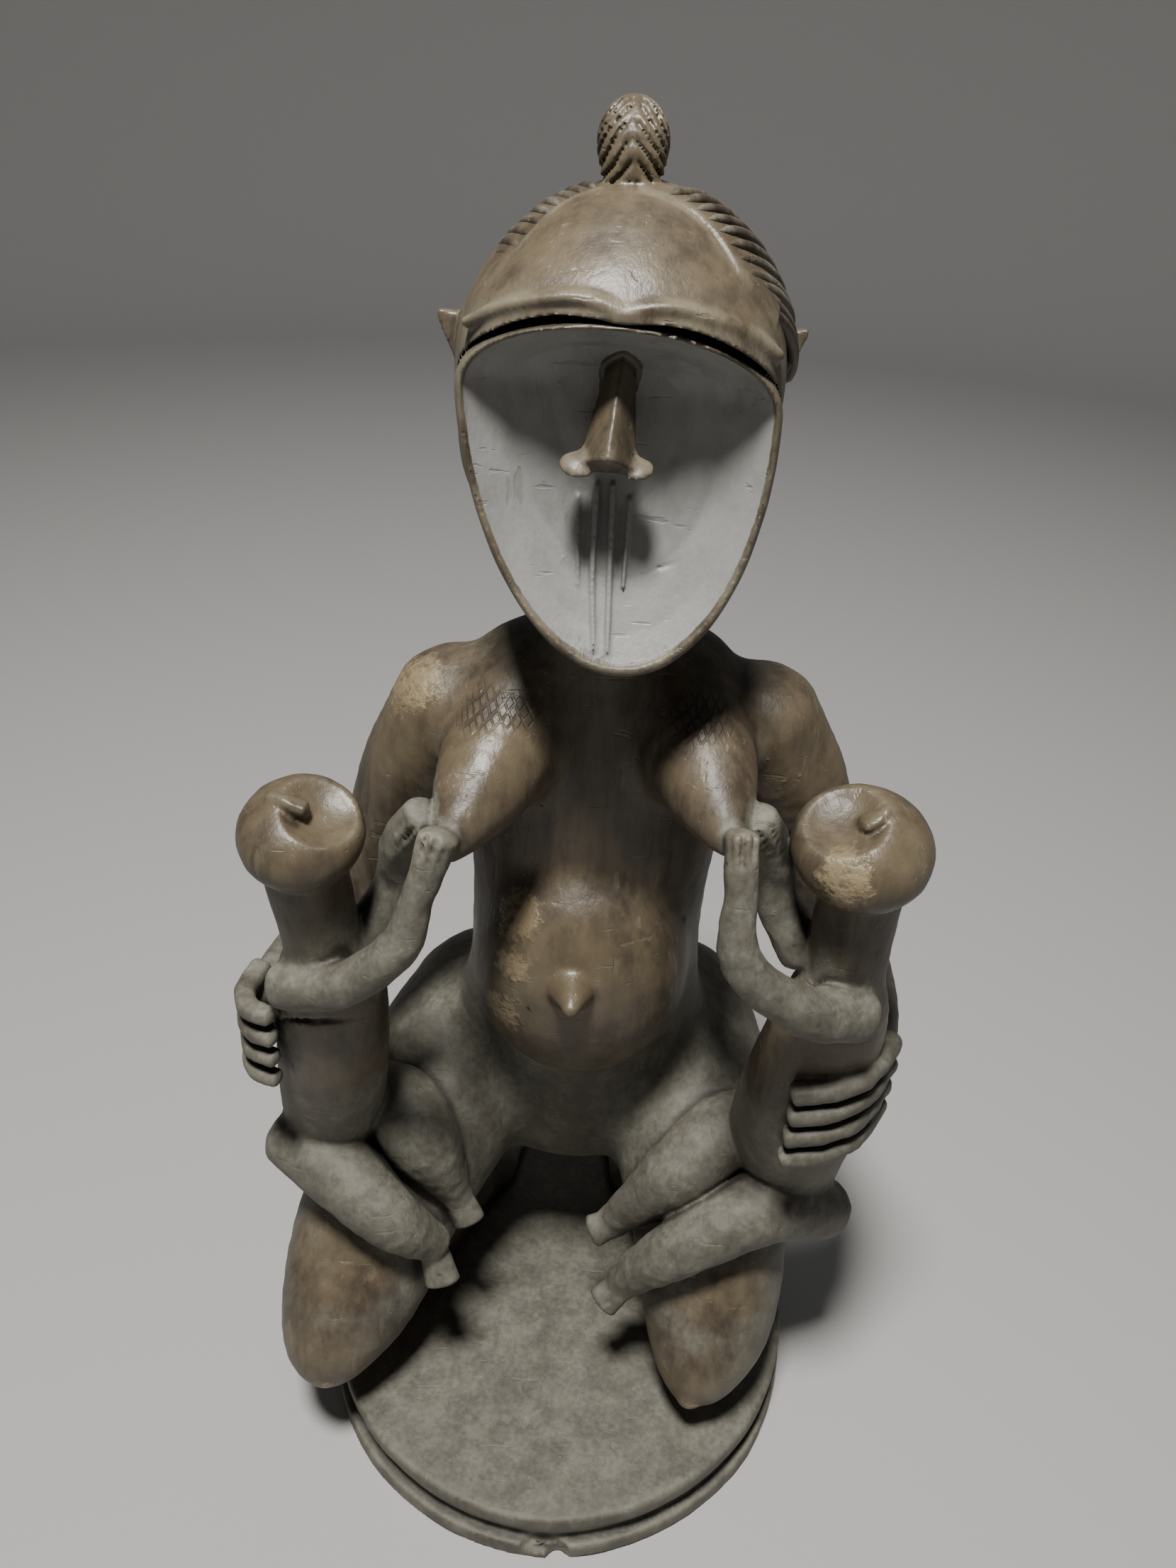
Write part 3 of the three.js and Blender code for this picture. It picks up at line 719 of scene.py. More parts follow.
def normals_of(mesh):
    normals = np.zeros(len(mesh.vertices) * 3, np.float32)
    mesh.vertex_normals.foreach_get("vector", normals)
    return normals.reshape(-1, 3).astype(float)


# Places that hands have polished, patches of worn ochre skin, and patches of fine hatching: centre, radius.
HANDLED = [
    (-110, -62, 42, 46), (71, -58, 38, 46), (-68, 12, 345, 48), (80, 12, 345, 48), (-38, -24, 350, 50),
    (44, -24, 352, 50), (-103, -50, 335, 40), (103, -50, 342, 42), (-103, -38, 225, 46), (104, -42, 240, 46),
    (1, -18, 235, 74), (3, -10, 515, 90), (3, 40, 300, 70), (2, 88, 110, 80), (-108, -50, 90, 46),
    (74, -50, 90, 46),
]
OCHRE = [
    (-26, -14, 272, 17), (-31, -20, 226, 15), (-27, -22, 252, 12), (92, -68, 338, 16), (4.8, -8, 566, 7),
    (-70, 8, 366, 20), (66, -78, 26, 9), (-110, -80, 33, 9), (5, -58, 512, 4),
]
HATCHED = [(-42, -17, 370, 13), (-28, -20, 372, 9), (41, -21, 374, 14)]
# What is noted on the points of a piece, from 0 to 1, for its finish to read.
NOTES = ("kaolin", "dust", "worn", "edge", "hollow", "ochre", "hatched")
# How far out of the surface its openness is felt, near and afar, and how far under it its edges are.
NEAR, AFAR, EDGE_DEPTH = 5, 13, 4.5


def note(mesh, name, values):
    attribute = mesh.attributes.new(name, "FLOAT", "POINT")
    attribute.data.foreach_set("value", np.clip(values, 0, 1).astype(np.float32))


def spots(points, places):
    """How much each point lies in one of the places: centre and radius."""
    total = np.zeros(len(points))
    for x, y, z, radius in places:
        away = np.linalg.norm(points - np.array([x, y, z], float), axis=1) / radius
        total = np.maximum(total, 1 - ramp(away, 0.35, 1.0))
    return total


def on_limbs(points):
    """1 on the children's arms and legs and on the mother's hands, 0 elsewhere."""
    share = np.zeros(len(points))
    plans = [stations for plan in (LEFT_CHILD, RIGHT_CHILD) for stations in (*plan["arms"], *plan["legs"])]
    hands = [[(*place, 9, 22) for place in plan["fingers"]["line"]] for plan in (LEFT_ARM, RIGHT_ARM)]
    for stations in (*plans, *hands):
        places = np.array([row[:3] for row in stations])
        reach = max(max(row[3:]) for row in stations) + 8
        near = np.all((points > places.min(axis=0) - reach) & (points < places.max(axis=0) + reach), axis=1)
        away = limb_distance(*points[near].T, stations, across=ACROSS_Y, steps=2)
        share[near] = np.maximum(share[near], 1 - ramp(away, 0.5, 4.0))
    return share


def openness(block, points, normals, reach):
    """How open the surface lies, seen so far out: 0 in a tight corner, 1 in the open."""
    return np.clip(block.at(points + normals * reach) / reach, 0, 1)


def cut_marks(mesh, block, seed, size, depth, lift):
    """Shallow knife cuts and a slow unevenness over the surface, but not on the underside or in the deepest
    corners."""
    points, normals = points_of(mesh), normals_of(mesh)
    share = face_shape(*points.T)[0]
    in_face = (points[:, 2] > CHIN_HEIGHT) & (share < 1) & (normals[:, 1] < 0)
    drift = np.stack([lattice_noise(points, 15, 8 + k) for k in range(3)], axis=1)
    scoops = knife_marks(points + 3 * drift, size, seed)
    softer = np.where(in_face, 0.5, 0.45 + 0.55 * on_limbs(points))
    cut_in = depth * (1 - scoops) * softer * ramp(openness(block, points, normals, NEAR), 0.2, 0.7)
    swell = 0.8 * depth * lattice_noise(points, 24, seed + 1)
    level = ramp(points[:, 2] + lift, 0.4, 2.0)
    points += normals * ((swell - cut_in) * level)[:, None]
    mesh.vertices.foreach_set("co", points.astype(np.float32).ravel())
    mesh.update()


def finish_wood(piece, block, unit, lift):
    """The notes of wear, dust, paint and painted shade in hollows on the surface's points, and the piece in
    metres.
    """
    mesh = piece.data
    points, normals = points_of(mesh), normals_of(mesh)
    open_near, open_far = (openness(block, points, normals, reach) for reach in (NEAR, AFAR))
    edge = ramp(block.at(points - normals * EDGE_DEPTH) + EDGE_DEPTH, 0.35, 3.0)
    share, depth, _ = face_shape(*points.T)
    dished = (1 - ramp(share, DISH_EDGE - 0.03, DISH_EDGE + 0.005)) * ramp(-normals[:, 1], 0.05, 0.3)
    dished *= (depth > -2) * (depth < 30) * (points[:, 2] > CHIN_HEIGHT)
    nose_away = np.minimum.reduce([
        limb_distance(*points.T, NOSE, power=1.25, dome=0.3),
        *(egg_distance(*points.T, centre, NOSTRIL_HALVES, turn) for centre, turn in NOSTRILS),
    ])
    handled, limbs, ochre = spots(points, HANDLED), on_limbs(points), spots(points, OCHRE)
    low_parts = ramp(points[:, 2], 300, 180)
    dust = 0.25 + 0.75 * low_parts + 0.45 * (1 - open_far) + 0.2 * normals[:, 2]
    values = (
        dished * ramp(nose_away, 1.9, 2.8),
        dust - 0.95 * handled * (1 - limbs) + 0.7 * limbs - 0.4 * edge + 0.2 * lattice_noise(points, 21, 5),
        0.75 * handled * (1 - 0.8 * limbs) + 0.55 * edge + 0.2 * lattice_noise(points, 14, 6),
        edge,
        # The hollow note: one minus the openness near the surface, where painted shade darkens tight corners
        # and gaps.
        1 - open_near,
        ochre + 0.15 * lattice_noise(points, 6, 7) * ochre,
        spots(points, HATCHED),
    )
    for name, value in zip(NOTES, values):
        note(mesh, name, value)
    points *= unit
    points[:, 2] += lift * unit
    mesh.vertices.foreach_set("co", (points / 1000).astype(np.float32).ravel())
    mesh.shade_smooth()
    mesh.update()


# Finishes.

class Number:
    """A number in a node tree, with which sums are written plainly."""

    def __init__(self, nodes, socket):
        self.nodes, self.socket = nodes, socket

    def __add__(self, other):
        return self.nodes.math("ADD", self, other)

    def __sub__(self, other):
        return self.nodes.math("SUBTRACT", self, other)

    def __rsub__(self, other):
        return self.nodes.math("SUBTRACT", other, self)

    def __mul__(self, other):
        return self.nodes.math("MULTIPLY", self, other)

    def __truediv__(self, other):
        return self.nodes.math("DIVIDE", self, other)


class Nodes:
    """Adds nodes to a tree and links them, with their inputs by name or number."""

    def __init__(self, tree):
        self.tree = tree

    def add(self, kind, inputs=None, **settings):
        node = self.tree.nodes.new(kind)
        for name, value in settings.items():
            setattr(node, name, value)
        for name, value in (inputs or {}).items():
            self.set(self.socket(node.inputs, name), value)
        return node

    @staticmethod
    def socket(sockets, name):
        """The socket with this name or number; of several with one name, the one in use."""
        if isinstance(name, int):
            return sockets[name]
        return next(socket for socket in sockets if socket.name == name and socket.enabled)

    def set(self, socket, value):
        if isinstance(value, Number):
            value = value.socket
        elif isinstance(value, bpy.types.Node):
            value = value.outputs[0]
        if isinstance(value, bpy.types.NodeSocket):
            self.tree.links.new(value, socket)
        else:
            socket.default_value = value

    def number(self, node, name=0):
        """A node's output as a number."""
        return Number(self, self.socket(node.outputs, name))

    def math(self, operation, a, b=0.0):
        return self.number(self.add("ShaderNodeMath", {0: a, 1: b}, operation=operation))

    def highest(self, a, b):
        return self.math("MAXIMUM", a, b)

    def step(self, value, low, high):
        """0 at low, 1 at high, smooth between."""
        node = self.add("ShaderNodeMapRange", {"Value": value, "From Min": low, "From Max": high},
                        interpolation_type="SMOOTHSTEP")
        return self.number(node, "Result")

    def between(self, share, a, b):
        node = self.add("ShaderNodeMix", {"Factor": share, "A": a, "B": b}, data_type="FLOAT")
        return self.number(node, "Result")

    def mix(self, share, a, b):
        """The colour this share of the way from a to b."""
        node = self.add("ShaderNodeMix", {"Factor": share}, data_type="RGBA", blend_type="MIX")
        for number, colour in ((6, a), (7, b)):
            self.set(node.inputs[number], (*colour, 1) if isinstance(colour, Color) else colour)
        return node.outputs[2]

    def split(self, vector):
        """The X, Y and Z of a vector."""
        node = self.add("ShaderNodeSeparateXYZ", {0: vector})
        return [self.number(node, axis) for axis in range(3)]

    def place(self, scale=(1, 1, 1), turn=0):
        """Object coordinates, stretched, and turned about Y by so many degrees."""
        where = self.add("ShaderNodeTexCoord").outputs["Object"]
        return self.add("ShaderNodeMapping", {"Vector": where, "Scale": scale,
                                              "Rotation": (0, math.radians(turn), 0)}).outputs[0]

    def noise(self, scale, detail, roughness, stretch=(1, 1, 1), turn=0):
        return self.number(self.add("ShaderNodeTexNoise", {
            "Vector": self.place(stretch, turn), "Scale": scale, "Detail": detail, "Roughness": roughness,
        }))

    def lines(self, turn):
        """Fine lines side by side, turned about Y by so many degrees."""
        return self.number(self.add("ShaderNodeTexWave", {
            "Vector": self.place(turn=turn), "Scale": 105.0, "Distortion": 1.2, "Detail": 2.0,
        }, wave_type="BANDS", bands_direction="X"), 1)

    def noted(self, name):
        """What is noted on the surface's points under this name."""
        node = self.add("ShaderNodeAttribute", attribute_name=name, attribute_type="GEOMETRY")
        return self.number(node, "Fac")


def new_material(name):
    material = bpy.data.materials.new(name)
    material.use_nodes = True
    material.node_tree.nodes.clear()
    return material, Nodes(material.node_tree)


# The wood's noises: scale, detail, roughness, stretch, and turn about Y in degrees.
NOISES = {
    "grain": (150, 6, 0.65, (1, 1, 0.12)),
    "blotch": (17, 5, 0.6),
    "speck": (330, 3, 0.6),
    "pore": (620, 2, 0.5, (1, 1, 0.2)),
    "mottle": (60, 6, 0.68, (1, 1, 0.6)),
    "scuff": (190, 3, 0.5, (0.22, 1, 1.6), 28),
    "crease": (110, 3, 0.5, (1.4, 1, 0.25), 20),
}
HATCHING_TURNS = (35, -50)


def carved_wood(name, colours, hair=False):
    """Dark carved wood: polished brown where it is handled, olive grey with dust elsewhere, ochre where its
    skin is rubbed through, and pale kaolin in the dish of the face; painted shade, with some dirt, darkens
    tight hollows and the hatch lines."""
    material, nodes = new_material(name)
    grain, blotch, speck, pore, mottle, scuff, crease = (nodes.noise(*row) for row in NOISES.values())
    kaolin, dust, worn, edge, hollow, ochre, hatched = (nodes.noted(note_name) for note_name in NOTES)
    fleck, cloud = speck - 0.5, mottle - 0.5
    marks = nodes.highest(nodes.step(scuff, 0.655, 0.72), nodes.step(crease, 0.665, 0.72))

    streaks = nodes.step(grain * 0.55 + mottle * 0.45, 0.4, 0.6)
    colour = nodes.mix(streaks, colours.dark, colours.brown)
    polish = worn * nodes.step(blotch + mottle * 0.5, 0.5, 0.95)
    colour = nodes.mix(polish, colour, colours.worn)
    if hair:
        cover = nodes.step(mottle, 0.4, 0.6) * 0.5
    else:
        cover = nodes.step(dust + ((blotch - 0.5) * 1.1 + cloud * 1.3), 0.1, 1.0)
        cover = cover * nodes.between(nodes.step(speck, 0.35, 0.65), 0.6, 1.0)
    thin_dust = nodes.mix(0.45, colours.dust, colours.dark)
    colour = nodes.mix(cover, colour, nodes.mix(nodes.step(mottle, 0.38, 0.66), thin_dust, colours.dust))
    rubs = nodes.highest(edge * nodes.step(mottle, 0.35, 0.6), marks * 0.4)
    colour = nodes.mix(rubs * 0.4, colour, colours.rubbed)
    bare = nodes.step(ochre + (fleck * 1.5 + cloud * 2.0), 0.3, 0.95)
    colour = nodes.mix(bare * 0.8, colour, colours.ochre)
    # Painted shade, with some dirt: tight hollows and gaps are darkened towards near black.
    colour = nodes.mix(nodes.step(hollow, 0.15, 0.9) * 0.85, colour, colours.grime_and_shade)
    chalk = nodes.mix(marks * 0.6, colours.kaolin, colours.kaolin_shade)
    chalk = nodes.mix(nodes.step(blotch * 0.5 + mottle * 0.5, 0.42, 0.66), chalk, colours.kaolin_shade)
    coat = nodes.step(kaolin + fleck * 0.6, 0.35, 0.6)
    colour = nodes.mix(coat, colour, chalk)
    # Painted shade: the hatch lines are drawn near black, as the shade in their grooves, and sunk by the bump
    # below.
    cuts = nodes.step(nodes.highest(*(nodes.lines(turn) for turn in HATCHING_TURNS)), 0.7, 0.9) * hatched
    colour = nodes.mix(cuts * 0.6, colour, colours.grime_and_shade)

    rough = nodes.between(cover, nodes.between(polish, 0.5, 0.33), 0.7)
    rough = nodes.between(coat, rough, 0.45) + cloud * 0.3
    relief = grain * 0.7 + pore * 0.2 + mottle * 0.9 - marks * 0.3 + bare * (speck * 1.2) - cuts * 2.2
    bump = nodes.add("ShaderNodeBump", {"Strength": 0.65, "Distance": 0.0008, "Height": relief})
    surface = nodes.add("ShaderNodeBsdfPrincipled", {
        "Base Color": colour, "Roughness": rough, "Normal": bump, "IOR": 1.46,
    })
    nodes.add("ShaderNodeOutputMaterial", {"Surface": surface})
    return material


def studio_floor(settings):
    material, nodes = new_material("studio_floor")
    surface = nodes.add("ShaderNodeBsdfPrincipled", {
        "Base Color": (*settings.floor_colour, 1), "Roughness": 0.9,
    })
    nodes.add("ShaderNodeOutputMaterial", {"Surface": surface})
    return material


# Points along a lock of hair, the length of the lowest lock as a share of the uppermost, and how much the
# locks differ. Each side's seed is this plus its number of locks.
LOCK_STATIONS, LOWEST_LOCK_SHARE, LOCK_UNEVENNESS, LOCK_SEED = 16, 0.62, 0.12, 4


def lock_tree():
    """Locks of hair: tubes side by side on the dome, from the hair's front edge back, half sunk in it."""
    tree = bpy.data.node_groups.new("hair_locks", "GeometryNodeTree")
    numbers = ["Side", "First Angle", "Last Angle", "Slant", "Length", "Lock Radius", "Sink", "Edge",
               "Edge Drop", "Edge Front", "Unevenness"]
    for name in numbers:
        tree.interface.new_socket(name, in_out="INPUT", socket_type="NodeSocketFloat")
    for name in ("Count", "Seed"):
        tree.interface.new_socket(name, in_out="INPUT", socket_type="NodeSocketInt")
    for name in ("Dome Centre", "Dome Halves"):
        tree.interface.new_socket(name, in_out="INPUT", socket_type="NodeSocketVector")
    tree.interface.new_socket("Wood", in_out="INPUT", socket_type="NodeSocketMaterial")
    tree.interface.new_socket("Geometry", in_out="OUTPUT", socket_type="NodeSocketGeometry")
    nodes = Nodes(tree)
    given = {socket.name: Number(nodes, socket) for socket in nodes.add("NodeGroupInput").outputs}

    strand = nodes.add("GeometryNodeCurvePrimitiveLine", {"Start": (0, 0, 0), "End": (1, 0, 0)})
    strand = nodes.add("GeometryNodeResampleCurve", {"Curve": strand, "Count": LOCK_STATIONS})
    roots = nodes.add("GeometryNodePoints", {"Count": given["Count"]})
    strands = nodes.add("GeometryNodeInstanceOnPoints", {"Points": roots, "Instance": strand})
    strands = nodes.add("GeometryNodeRealizeInstances", {"Geometry": strands})

    index = nodes.number(nodes.add("GeometryNodeInputIndex"))
    lock = nodes.math("FLOOR", index / float(LOCK_STATIONS))
    along = nodes.split(nodes.add("GeometryNodeInputPosition"))[0]
    chance = nodes.add("FunctionNodeRandomValue", {
        "Min": -1.0, "Max": 1.0, "ID": lock, "Seed": given["Seed"],
    })
    chance = nodes.number(chance, "Value") * given["Unevenness"]
    order = lock / (given["Count"] - 1.0)
    angle = nodes.between(order, given["First Angle"], given["Last Angle"])
    start = given["Edge"] + given["Edge Drop"] * (1.0 - nodes.math("COSINE", angle))
    start = nodes.highest(start, given["Edge Front"]) + given["Lock Radius"] * chance
    length = given["Length"] * (nodes.between(order, 1.0, LOWEST_LOCK_SHARE) + chance * 0.8)
    back = start + length * along
    angle = angle + given["Slant"] * along + chance * 0.06

    centre_x, centre_y, centre_z = nodes.split(given["Dome Centre"])
    half_x, half_y, half_z = nodes.split(given["Dome Halves"])
    ring = nodes.math("SQRT", nodes.highest(1.0 - nodes.math("POWER", (back - centre_y) / half_y, 2.0), 0.02))
    outward = given["Side"] * (ring * (half_x - given["Sink"]) * nodes.math("SINE", angle))
    upward = ring * (half_z - given["Sink"]) * nodes.math("COSINE", angle)
    spot = nodes.add("ShaderNodeCombineXYZ", {"X": centre_x + outward, "Y": back, "Z": centre_z + upward})

    off_middle = nodes.math("ABSOLUTE", along * 2.0 - 1.0)
    taper = nodes.math("SQRT", nodes.highest(1.0 - nodes.math("POWER", off_middle, 7.0), 0.02))
    girth = given["Lock Radius"] * (taper * (chance + 1.0))
    outline = nodes.add("GeometryNodeCurvePrimitiveCircle", {"Resolution": 10, "Radius": 1.0})
    # The girth follows the place along a lock, so it is kept before the strands move.
    strands = nodes.add("GeometryNodeStoreNamedAttribute", {
        "Geometry": strands, "Name": "girth", "Value": girth,
    }, data_type="FLOAT", domain="POINT")
    strands = nodes.add("GeometryNodeSetPosition", {"Geometry": strands, "Position": spot})
    named = nodes.add("GeometryNodeInputNamedAttribute", {"Name": "girth"}, data_type="FLOAT")
    locks = nodes.add("GeometryNodeCurveToMesh", {"Curve": strands, "Profile Curve": outline,
                                                  "Scale": named.outputs["Attribute"], "Fill Caps": True})
    locks = nodes.add("GeometryNodeRealizeInstances", {"Geometry": locks})
    locks = nodes.add("GeometryNodeSetMaterial", {"Geometry": locks, "Material": given["Wood"]})
    nodes.add("NodeGroupOutput", {"Geometry": locks})
    return tree


def set_input(modifier, name, value):
    """Sets a modifier's input by the identifier of the socket with this name."""
    for item in modifier.node_group.interface.items_tree:
        if item.item_type == "SOCKET" and item.in_out == "INPUT" and item.name == name:
            modifier[item.identifier] = value
            return
    raise ValueError(f"the tree has no input named {name}")


# Settings.

def length_value(name, description, default):
    return bpy.props.FloatProperty(name=name, description=description, default=default, unit="LENGTH",
                                   precision=4)


def angle_value(name, description, degrees):
    return bpy.props.FloatProperty(name=name, description=description, default=math.radians(degrees),
                                   subtype="ANGLE")


def power_value(name, description, default):
    return bpy.props.FloatProperty(name=name, description=description, default=default, min=0, unit="POWER")


def count_value(name, description, default):
    return bpy.props.IntProperty(name=name, description=description, default=default, min=2)


def colour_value(name, description, default):
    return bpy.props.FloatVectorProperty(name=name, description=description, default=default, size=3,
                                         subtype="COLOR", min=0, max=1)


class BaseSizes(bpy.types.PropertyGroup):
    thickness: length_value("Thickness", "Height of the round base", 0.030)
    top_radius: length_value("Top radius", "Radius of the base's top face", 0.121)
    neck_radius: length_value("Neck radius", "Radius at the narrowest place, above the rim", 0.117)
    rim_radius: length_value("Rim radius", "Radius of the wider rim at the bottom", 0.123)
    rim_thickness: length_value("Rim thickness", "Height of the rim", 0.0095)


class CarvingSizes(bpy.types.PropertyGroup):
    height: length_value("Height", "Top of the base to the top of the crest", FIGURE_TOP - 0.030)
    body_step: length_value("Body detail", "Spacing of the lattice that the body is cut on", 0.0013)
    head_step: length_value("Head detail", "Spacing of the lattice that the head is cut on", 0.0008)
    triangles: count_value("Triangles", "Most triangles in each mesh", 190000)
    body_mark: length_value("Body knife mark", "Width of a knife mark on the body", 0.010)
    head_mark: length_value("Head knife mark", "Width of a knife mark on the head", 0.017)
    body_mark_depth: length_value("Body mark depth", "Depth of a knife mark on the body", 0.0006)
    head_mark_depth: length_value("Head mark depth", "Depth of a knife mark on the head", 0.00028)


class HairSizes(bpy.types.PropertyGroup):
    left_count: count_value("Left locks", "Locks on the viewer's left", 15)
    right_count: count_value("Right locks", "Locks on the viewer's right", 11)
    length: length_value("Length", "Length of the uppermost lock", 0.058)
    left_radius: length_value("Left radius", "Half the width of a lock on the left", 0.00175)
    right_radius: length_value("Right radius", "Half the width of a lock on the right", 0.0020)
    sink: length_value("Sink", "How far a lock's middle lies under the dome", 0.0001)
    first_angle: angle_value("First lock", "Angle from the top of the dome", 12)
    left_slant: angle_value("Left slant", "Turn of a left lock towards its back end", 16)
    right_slant: angle_value("Right slant", "Turn of a right lock towards its back end", 34)


class WoodColours(bpy.types.PropertyGroup):
    dark: colour_value("Dark wood", "Wood between its lighter streaks", (0.034, 0.026, 0.018))
    brown: colour_value("Brown wood", "The lighter streaks", (0.075, 0.058, 0.037))
    worn: colour_value("Worn wood", "Wood polished by hands", (0.115, 0.090, 0.054))
    dust: colour_value("Dust", "Olive grey dust and old grease", (0.145, 0.143, 0.115))
    rubbed: colour_value("Rubbed edges", "Where the dust is rubbed off edges", (0.20, 0.185, 0.14))
    # Painted shade, with some dirt: the near black laid into tight hollows and into the hatch lines.
    grime_and_shade: colour_value("Grime and shade", "Dirt and painted shade in the deepest cuts and hollows", (0.020, 0.016, 0.012))
    ochre: colour_value("Ochre", "Where the dark skin is rubbed through", (0.21, 0.165, 0.095))
    kaolin: colour_value("Kaolin", "The pale coating of the face", (0.22, 0.222, 0.21))
    kaolin_shade: colour_value("Worn kaolin", "The coating where it is thin", (0.14, 0.14, 0.128))


class StageSettings(bpy.types.PropertyGroup):
    floor_colour: colour_value("Floor", "Colour of the floor and its rising back", (0.37, 0.365, 0.355))
    floor_radius: length_value("Floor radius", "Radius of the flat floor", 2.6)
    wall_height: length_value("Wall height", "Height of the rising back", 2.4)
    key_power: power_value("Key light", "Power of the soft light above", 62.0)
    fill_power: power_value("Fill light", "Power of the soft lights beside", 1.0)
    backdrop_power: power_value("Backdrop light", "Power of the light on the rising back", 6.0)


# Operators.

def figure_unit(sizes):
    return 1000 * sizes.height / POSE_HEIGHT


def pose_length(metres, unit):
    """A length in metres as millimetres of the pose."""
    return 1000 * metres / unit


def wood_slot(piece, material):
    piece.data.materials.clear()
    piece.data.materials.append(material)
    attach(piece, BODY)
    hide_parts(NODE)


def shared_wood(colours, hair=False):
    name = "carved_hair" if hair else "carved_wood"
    return bpy.data.materials.get(name) or carved_wood(name, colours, hair)


def dress(context, block, name, seed, mark_width, mark_depth):
    """Turns a block into a finished piece of the carving, with knife marks of this width and depth."""
    sizes = context.scene.carving_sizes
    unit = figure_unit(sizes)
    lift = pose_length(context.scene.base_sizes.thickness, unit)
    marks = (seed, pose_length(mark_width, unit), pose_length(mark_depth, unit), lift)
    piece = skin(block, name, sizes.triangles, marks)
    finish_wood(piece, block, unit, lift)
    wood_slot(piece, shared_wood(context.scene.wood_colours))


class FIGURE_OT_carve_body(bpy.types.Operator):
    """Carve the mother's body, the two children and the round base"""
    bl_idname = "figure.carve_body"
    bl_label = "Carve the body"

    def execute(self, context):
        sizes, base_sizes = context.scene.carving_sizes, context.scene.base_sizes
        unit = figure_unit(sizes)
        step = pose_length(sizes.body_step, unit)
        pose_base = {name: pose_length(getattr(base_sizes, name), unit) for name in BaseSizes.__annotations__}
        floor = -pose_base["thickness"]
        low, high = BODY_BOX
        block = Block((*low, floor - UNDER_BASE), high, step)
        mother(block)
        for plan in (LEFT_CHILD, RIGHT_CHILD):
            block.join(child(step, plan), 1.2)
        base(block, pose_base)
        block.limb(JAW, blend=6, steps=5)
        slices, x, y, z = block.window(*NECK_OF_BODY)
        block.cut(slices, -neck_side(x, y, z), 0)
        slices, x, y, z = block.window((*low, floor - UNDER_BASE), (*high[:2], floor + 6))
        block.cut(slices, z - floor + 0 * x * y, 0)
        dress(context, block, "figure_body", BODY_SEED, sizes.body_mark, sizes.body_mark_depth)
        return {"FINISHED"}


class FIGURE_OT_carve_head(bpy.types.Operator):
    """Carve the mother's head with its dome, dished face, ears and crest"""
    bl_idname = "figure.carve_head"
    bl_label = "Carve the head"

    def execute(self, context):
        sizes = context.scene.carving_sizes
        block = Block(*HEAD_BOX, pose_length(sizes.head_step, figure_unit(sizes)))
        head(block)
        block.limb(TRUNK, blend=6, steps=5)
        slices, x, y, z = block.window(*NECK_OF_HEAD)
        block.cut(slices, neck_side(x, y, z) + NECK_OVERLAP, 0)
        dress(context, block, "figure_head", HEAD_SEED, sizes.head_mark, sizes.head_mark_depth)
        return {"FINISHED"}


class FIGURE_OT_lay_hair(bpy.types.Operator):
    """Lay the locks of hair on both sides of the dome"""
    bl_idname = "figure.lay_hair"
    bl_label = "Lay the hair"

    def execute(self, context):
        hair, sizes = context.scene.hair_sizes, context.scene.carving_sizes
        metre = figure_unit(sizes) / 1000
        wood = shared_wood(context.scene.wood_colours, hair=True)
        tree = lock_tree()
        centre = (DOME_CENTRE[0] * metre, DOME_CENTRE[1] * metre,
                  DOME_CENTRE[2] * metre + context.scene.base_sizes.thickness)
        sides = (("hair_left", -1.0, HAIR_LEFT, hair.left_count, hair.left_radius, hair.left_slant),
                 ("hair_right", 1.0, HAIR_RIGHT, hair.right_count, hair.right_radius, hair.right_slant))
        for name, side, plan, count, radius, slant in sides:
            piece = bpy.data.objects.new(name, bpy.data.meshes.new(name))
            context.collection.objects.link(piece)
            modifier = piece.modifiers.new("Locks", "NODES")
            modifier.node_group = tree
            values = {
                "Side": side, "Count": count, "First Angle": hair.first_angle,
                "Last Angle": math.radians(plan["lowest"]), "Slant": slant, "Length": hair.length,
                "Lock Radius": radius, "Sink": hair.sink, "Edge": plan["edge"] * metre,
                "Edge Drop": plan["drop"] * metre, "Edge Front": plan["front"] * metre,
                "Unevenness": LOCK_UNEVENNESS, "Seed": LOCK_SEED + count, "Dome Centre": centre,
                "Dome Halves": tuple(half * metre for half in plan["halves"]), "Wood": wood,
            }
            for key, value in values.items():
                set_input(modifier, key, value)
            plain_mesh(piece)
            if not piece.data.polygons:
                raise RuntimeError(f"{name} came out empty")
            piece.data.shade_smooth()
            wood_slot(piece, wood)
        return {"FINISHED"}


def bowl(radius, height):
    """A flat round floor that rises in a quarter circle to a wall."""
    bend, bends, sides = 0.9, 12, 96
    profile = [(radius * share, 0.0) for share in (0.25, 0.5, 0.75, 0.9)]
    for i in range(bends + 1):
        angle = i / bends * math.pi / 2
        profile.append((radius + bend * math.sin(angle), bend * (1 - math.cos(angle))))
    profile.append((radius + bend, height))
    points, faces = [(0.0, 0.0, 0.0)], []
    turns = [2 * math.pi * j / sides for j in range(sides)]
    for reach, rise in profile:
        points += [(reach * math.cos(turn), reach * math.sin(turn), rise) for turn in turns]
    for j in range(sides):
        faces.append((0, 1 + j, 1 + (j + 1) % sides))
        for i in range(len(profile) - 1):
            low, high = 1 + i * sides, 1 + (i + 1) * sides
            after = (j + 1) % sides
            faces.append((low + j, high + j, high + after, low + after))
    mesh = bpy.data.meshes.new("studio_floor")
    mesh.from_pydata(points, [], faces)
    mesh.shade_smooth()
    return mesh


